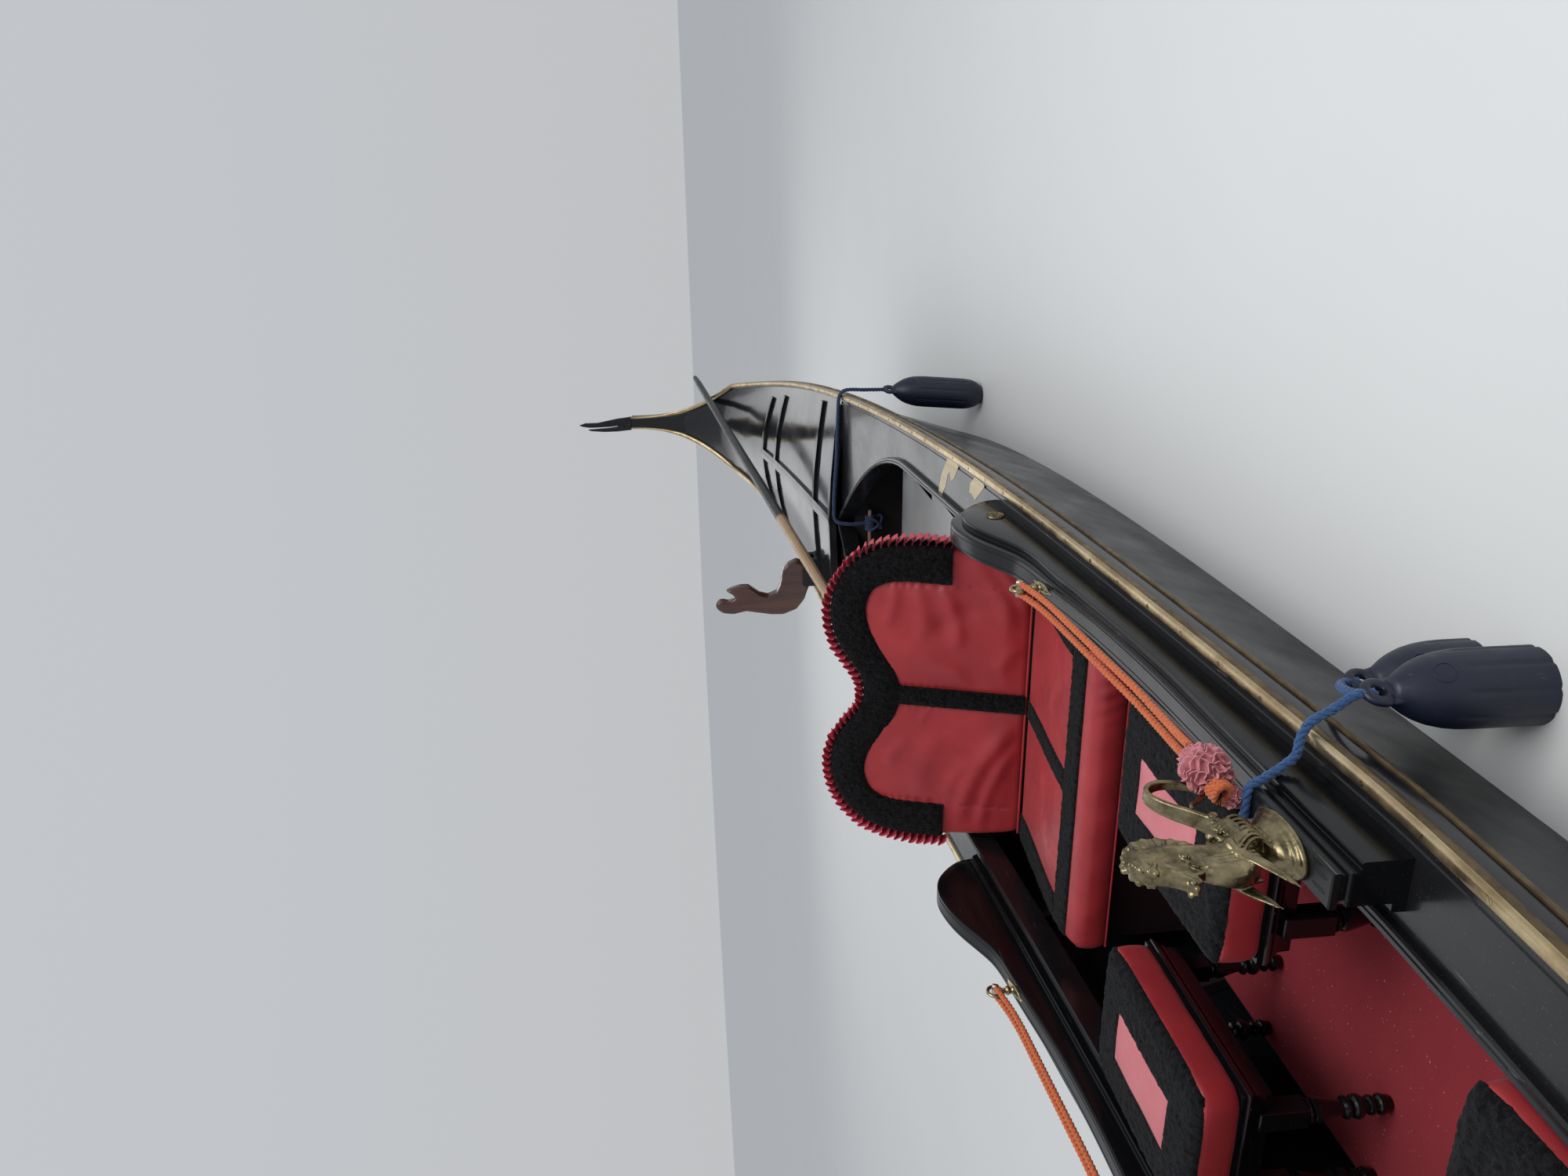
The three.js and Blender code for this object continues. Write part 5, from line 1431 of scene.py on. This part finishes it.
def make_stool_cushion(place, x, y, seed):
    half_x, half_y = STOOL_HALF_X, STOOL_HALF_Y
    rings = []
    for z, inset in ((0.3375, 0.01), (0.3385, 0.004), (0.342, 0.001), (0.352, -0.001), (0.366, -0.0022),
                     (0.382, -0.0024), (0.398, -0.0016), (0.407, -0.0006), (0.4115, 0.0012),
                     (0.4138, 0.0045), (0.4142, 0.02)):
        ring = [Vector((a, b, 0)) for a, b in rounded(half_x - inset, half_y - inset, 0.042 - inset * 0.5)]
        rings.append([(x + p.x, y + p.y, z + 0.0006 * sin(p.x * 60 + p.y * 47 + seed))
                      for p in resample(ring + ring[:1], 0.008)[:-1]])
    count = min(len(ring) for ring in rings)
    red = Form().loft([[ring[int(k * len(ring) / count)] for k in range(count)] for ring in rings])
    cushion = red.piece(f"stool_red_{place}", "red_vinyl", RED, [f"stool_cushion_{place}"], 60)
    panel_x, panel_y, shift = 0.1365, 0.0675, -0.002

    def outline(i, k):
        u, v = 2 * i - 1, 2 * k - 1
        round_u, round_v = (1 - 0.1 * v ** 6) ** 0.5, (1 - 0.1 * u ** 6) ** 0.5
        return u * round_u * (half_x + 0.0015), v * round_v * (half_y + 0.0015)

    def fur_top(i, k):
        u, v = 2 * i - 1, 2 * k - 1
        a, b = outline(i, k)
        rim = min(1, min(half_x * (1 - abs(u)), half_y * (1 - abs(v))) / 0.03)
        crown = 0.4125 + 0.018 * rim ** 0.45 + 0.006 * (1 - u * u) * (1 - v * v)
        inside = smooth((panel_x + 0.004 - abs(a - shift)) / 0.006)
        inside *= smooth((panel_y + 0.004 - abs(b)) / 0.006)
        pile = fur(Vector((a + x, b + y, seed)), 1.35) * (1 - inside)
        return x + a, y + b, crown + pile - 0.004 * inside

    def fur_foot(i, k):
        a, b = outline(i, k)
        return x + a * 0.985, y + b * 0.985, 0.4085

    def panel(i, k):
        u, v = 2 * i - 1, 2 * k - 1
        rim = min(1, min(panel_x * (1 - abs(u)), panel_y * (1 - abs(v))) / 0.006)
        z = 0.4305 + 0.0035 * (1 - u * u) * (1 - v * v) + 0.0022 * rim ** 0.5
        return x + panel_x * u + shift, y + panel_y * v, z + 0.0005 * sin(5 * u + 3 * v + seed)

    top = Form().pad(sheet(122, 88, fur_top), sheet(122, 88, fur_foot))
    top.piece(f"stool_plush_{place}", "red_vinyl", PLUSH, sharp=75)
    front = sheet(28, 16, panel)
    pink = Form().pad(front, [[(a, b, 0.422) for a, b, _ in row] for row in front])
    pink.piece(f"stool_panel_{place}", "red_vinyl", PINK, sharp=60)


def make_stool_frame(place, x, y):
    half_x, half_y, foot, leg_top, bevel = STOOL_HALF_X, STOOL_HALF_Y, CARPET_TOP + GAP, 0.235 * 0.78, 0.0025
    profile = [(0.03, 0.265), (0.0195, 0.265), (0.0185, 0.29), (0.0165, 0.293), (0.015, 0.3),
               (0.011, 0.304), (0.0085, 0.305), (0.008, 0.3075), (0.0085, 0.3095), (0.0062, 0.311),
               (0.004, 0.316), (0.0012, 0.319), (0, 0.3215), (0.001, 0.324), (0.0036, 0.3255),
               (0.0036, 0.329), (0.006, 0.3366), (0.03, 0.3366)]
    form = Form().loft([ring_at(x, y, z, half_x - inset, half_y - inset, max(0, 0.008 - inset), 4)
                        for inset, z in profile], loop=True)
    form.loft([rectangle(x, y, half_x - 0.02, half_y - 0.02, z) for z in (0.32, 0.3366)])
    turning = [(0.015, 0), (0.0165, 0.003), (0.0185, 0.018), (0.0215, 0.028), (0.02, 0.034), (0.0135, 0.04),
               (0.013, 0.044), (0.019, 0.05), (0.0205, 0.056), (0.019, 0.062), (0.0135, 0.067),
               (0.013, 0.071), (0.0175, 0.0745), (0.024, 0.086), (0.0255, 0.094), (0.0235, 0.102),
               (0.015, 0.11), (0.0142, 0.114), (0.022, 0.119), (0.0235, 0.124), (0.022, 0.129),
               (0.015, 0.1335), (0.0165, 0.15), (0.0215, 0.176), (0.025, 0.196), (0.026, 0.206),
               (0.0245, 0.214), (0.0175, 0.219), (0.017, 0.222), (0.0245, 0.2255), (0.0255, 0.229),
               (0.0245, 0.2325), (0.018, 0.235)]
    for leg_x, leg_y, _ in rectangle(x, y, half_x - 0.027, half_y - 0.08, foot):
        form.turned([(r, h * 0.78) for r, h in turning], 24, (leg_x, leg_y, foot))
        block = [(foot + leg_top, bevel), (foot + leg_top + bevel, 0), (0.292 - bevel, 0), (0.292, bevel)]
        form.loft([ring_at(leg_x, leg_y, z, 0.0235 - inset, 0.0235 - inset, bevel, 1) for z, inset in block])
    form.piece(f"turned_stool_{place}", "black_lacquer", BLACK, [f"stool_frame_{place}"], 35)


def make_stools():
    for seed, (place, x, y) in enumerate(STOOLS):
        make_stool_cushion(place, x, y, seed * 3.1)
        make_stool_frame(place, x, y)


# Small fittings
CRUTCH = [(-0.4, 0.7), (-0.47, 0.731), (-0.525, 0.749), (-0.578, 0.791), (-0.602, 0.854), (-0.601, 0.917),
          (-0.588, 0.99), (-0.575, 1.048), (-0.58, 1.08), (-0.587, 1.115), (-0.58, 1.166), (-0.561, 1.192),
          (-0.543, 1.203), (-0.526, 1.201), (-0.513, 1.18), (-0.519, 1.133), (-0.499, 1.102),
          (-0.476, 1.122), (-0.463, 1.148), (-0.451, 1.125), (-0.438, 1.079), (-0.437, 1.032),
          (-0.457, 1.005), (-0.48, 0.975), (-0.493, 0.93), (-0.475, 0.886), (-0.432, 0.866),
          (-0.356, 0.857), (-0.33, 0.83), (-0.309, 0.788), (-0.33, 0.74), (-0.345, 0.7)]


def make_crutch():
    """The carved crutch: its outline in y and z, with the edges drawn in towards the middle of each half."""
    rings = []
    for across, drawn in ((-0.028, 0.012), (-0.022, 0.003), (-0.01, 0), (0.01, 0), (0.022, 0.003),
                          (0.028, 0.012)):
        ring = []
        for y, z in CRUTCH:
            at, middle = Vector((y, z)), Vector((-0.52, 0.96)) if z > 0.8 else Vector((-0.44, 0.78))
            at -= (at - middle).normalized() * drawn
            ring.append((-3.5 + across, at.x, max(0.7, at.y)))
        rings.append(ring)
    Form().loft(rings).fused("carved_crutch", "walnut", WALNUT, ["forcola"], 0.006, 5)


def make_patches():
    """Places on the port side deck where the black has gone and the pale filler shows."""
    form = Form()
    for outline in ([(-1.734, 0.5), (-1.72, 0.542), (-1.703, 0.588), (-1.64, 0.664), (-1.564, 0.668),
                     (-1.53, 0.664), (-1.571, 0.61), (-1.602, 0.595), (-1.617, 0.621), (-1.634, 0.606),
                     (-1.653, 0.564), (-1.693, 0.52)],
                    [(-1.402, 0.609), (-1.421, 0.606), (-1.416, 0.638), (-1.376, 0.668), (-1.3, 0.668),
                     (-1.29, 0.66), (-1.348, 0.612), (-1.367, 0.596)]):
        form.loft([[(x, y, deck_z(x) + 0.0001 + lift) for x, y in outline] for lift in (0, 0.0007)])
    form.piece("bare_patches", "ash", CREAM)


def make_knot():
    form, x, y, z, ring = Form(), PIN["x"], 0.008, PIN["z"], circle(16)
    for turn in (-2, -1, 0, 1, 2):
        loop = [Vector((x + 0.0165 * c, y + 0.014 * turn, z + 0.0165 * s)) for c, s in ring + ring[:1]]
        laid_rope(form, curve(loop, 0.004), 0.0065, 0.03, 0.004)
    for slant in (-0.03, 0.03):
        loop = [Vector((x + 0.026 * cos(a), y + slant * sin(a + 0.6), z - 0.022 + 0.034 * sin(a)))
                for a in (pi * k / 8 for k in range(17))]
        laid_rope(form, curve(loop, 0.004), 0.0065, 0.03, 0.004)
    form.piece("pin_knot", "blue_rope", NAVY_ROPE, sharp=60)


for make in (make_shell, make_gunwales, make_decks, make_rails, make_eyes, make_horses, make_pompoms,
             make_fenders, make_back, make_seat, make_stools, make_crutch, make_patches, make_knot):
    make()

PLAIN_NODES = {
    BLACK: ["bridge_deck", "well_thwart", "aft_deck_rails", "forcola_block"],
    INSIDE: ["bulkhead_aft", "bulkhead_fore", "bulkhead_seat", "floor_frames", "floor_boards", "seat_base",
             "seat_back_board"],
    CARPET: ["carpet"],
    PIN_WOOD: ["mooring_pin"],
    ASH: ["oar"],
    IRON: ["stern_iron"],
    STEEL: ["bow_iron"],
}


def dress_nodes():
    for material, names in PLAIN_NODES.items():
        for name in names:
            node = NODES[name]
            node.data.materials.clear()
            node.data.materials.append(material)
            bevel = node.modifiers.new("edges", "BEVEL")
            bevel.width, bevel.segments, bevel.limit_method, bevel.harden_normals = 0.0012, 2, "ANGLE", True


dress_nodes()
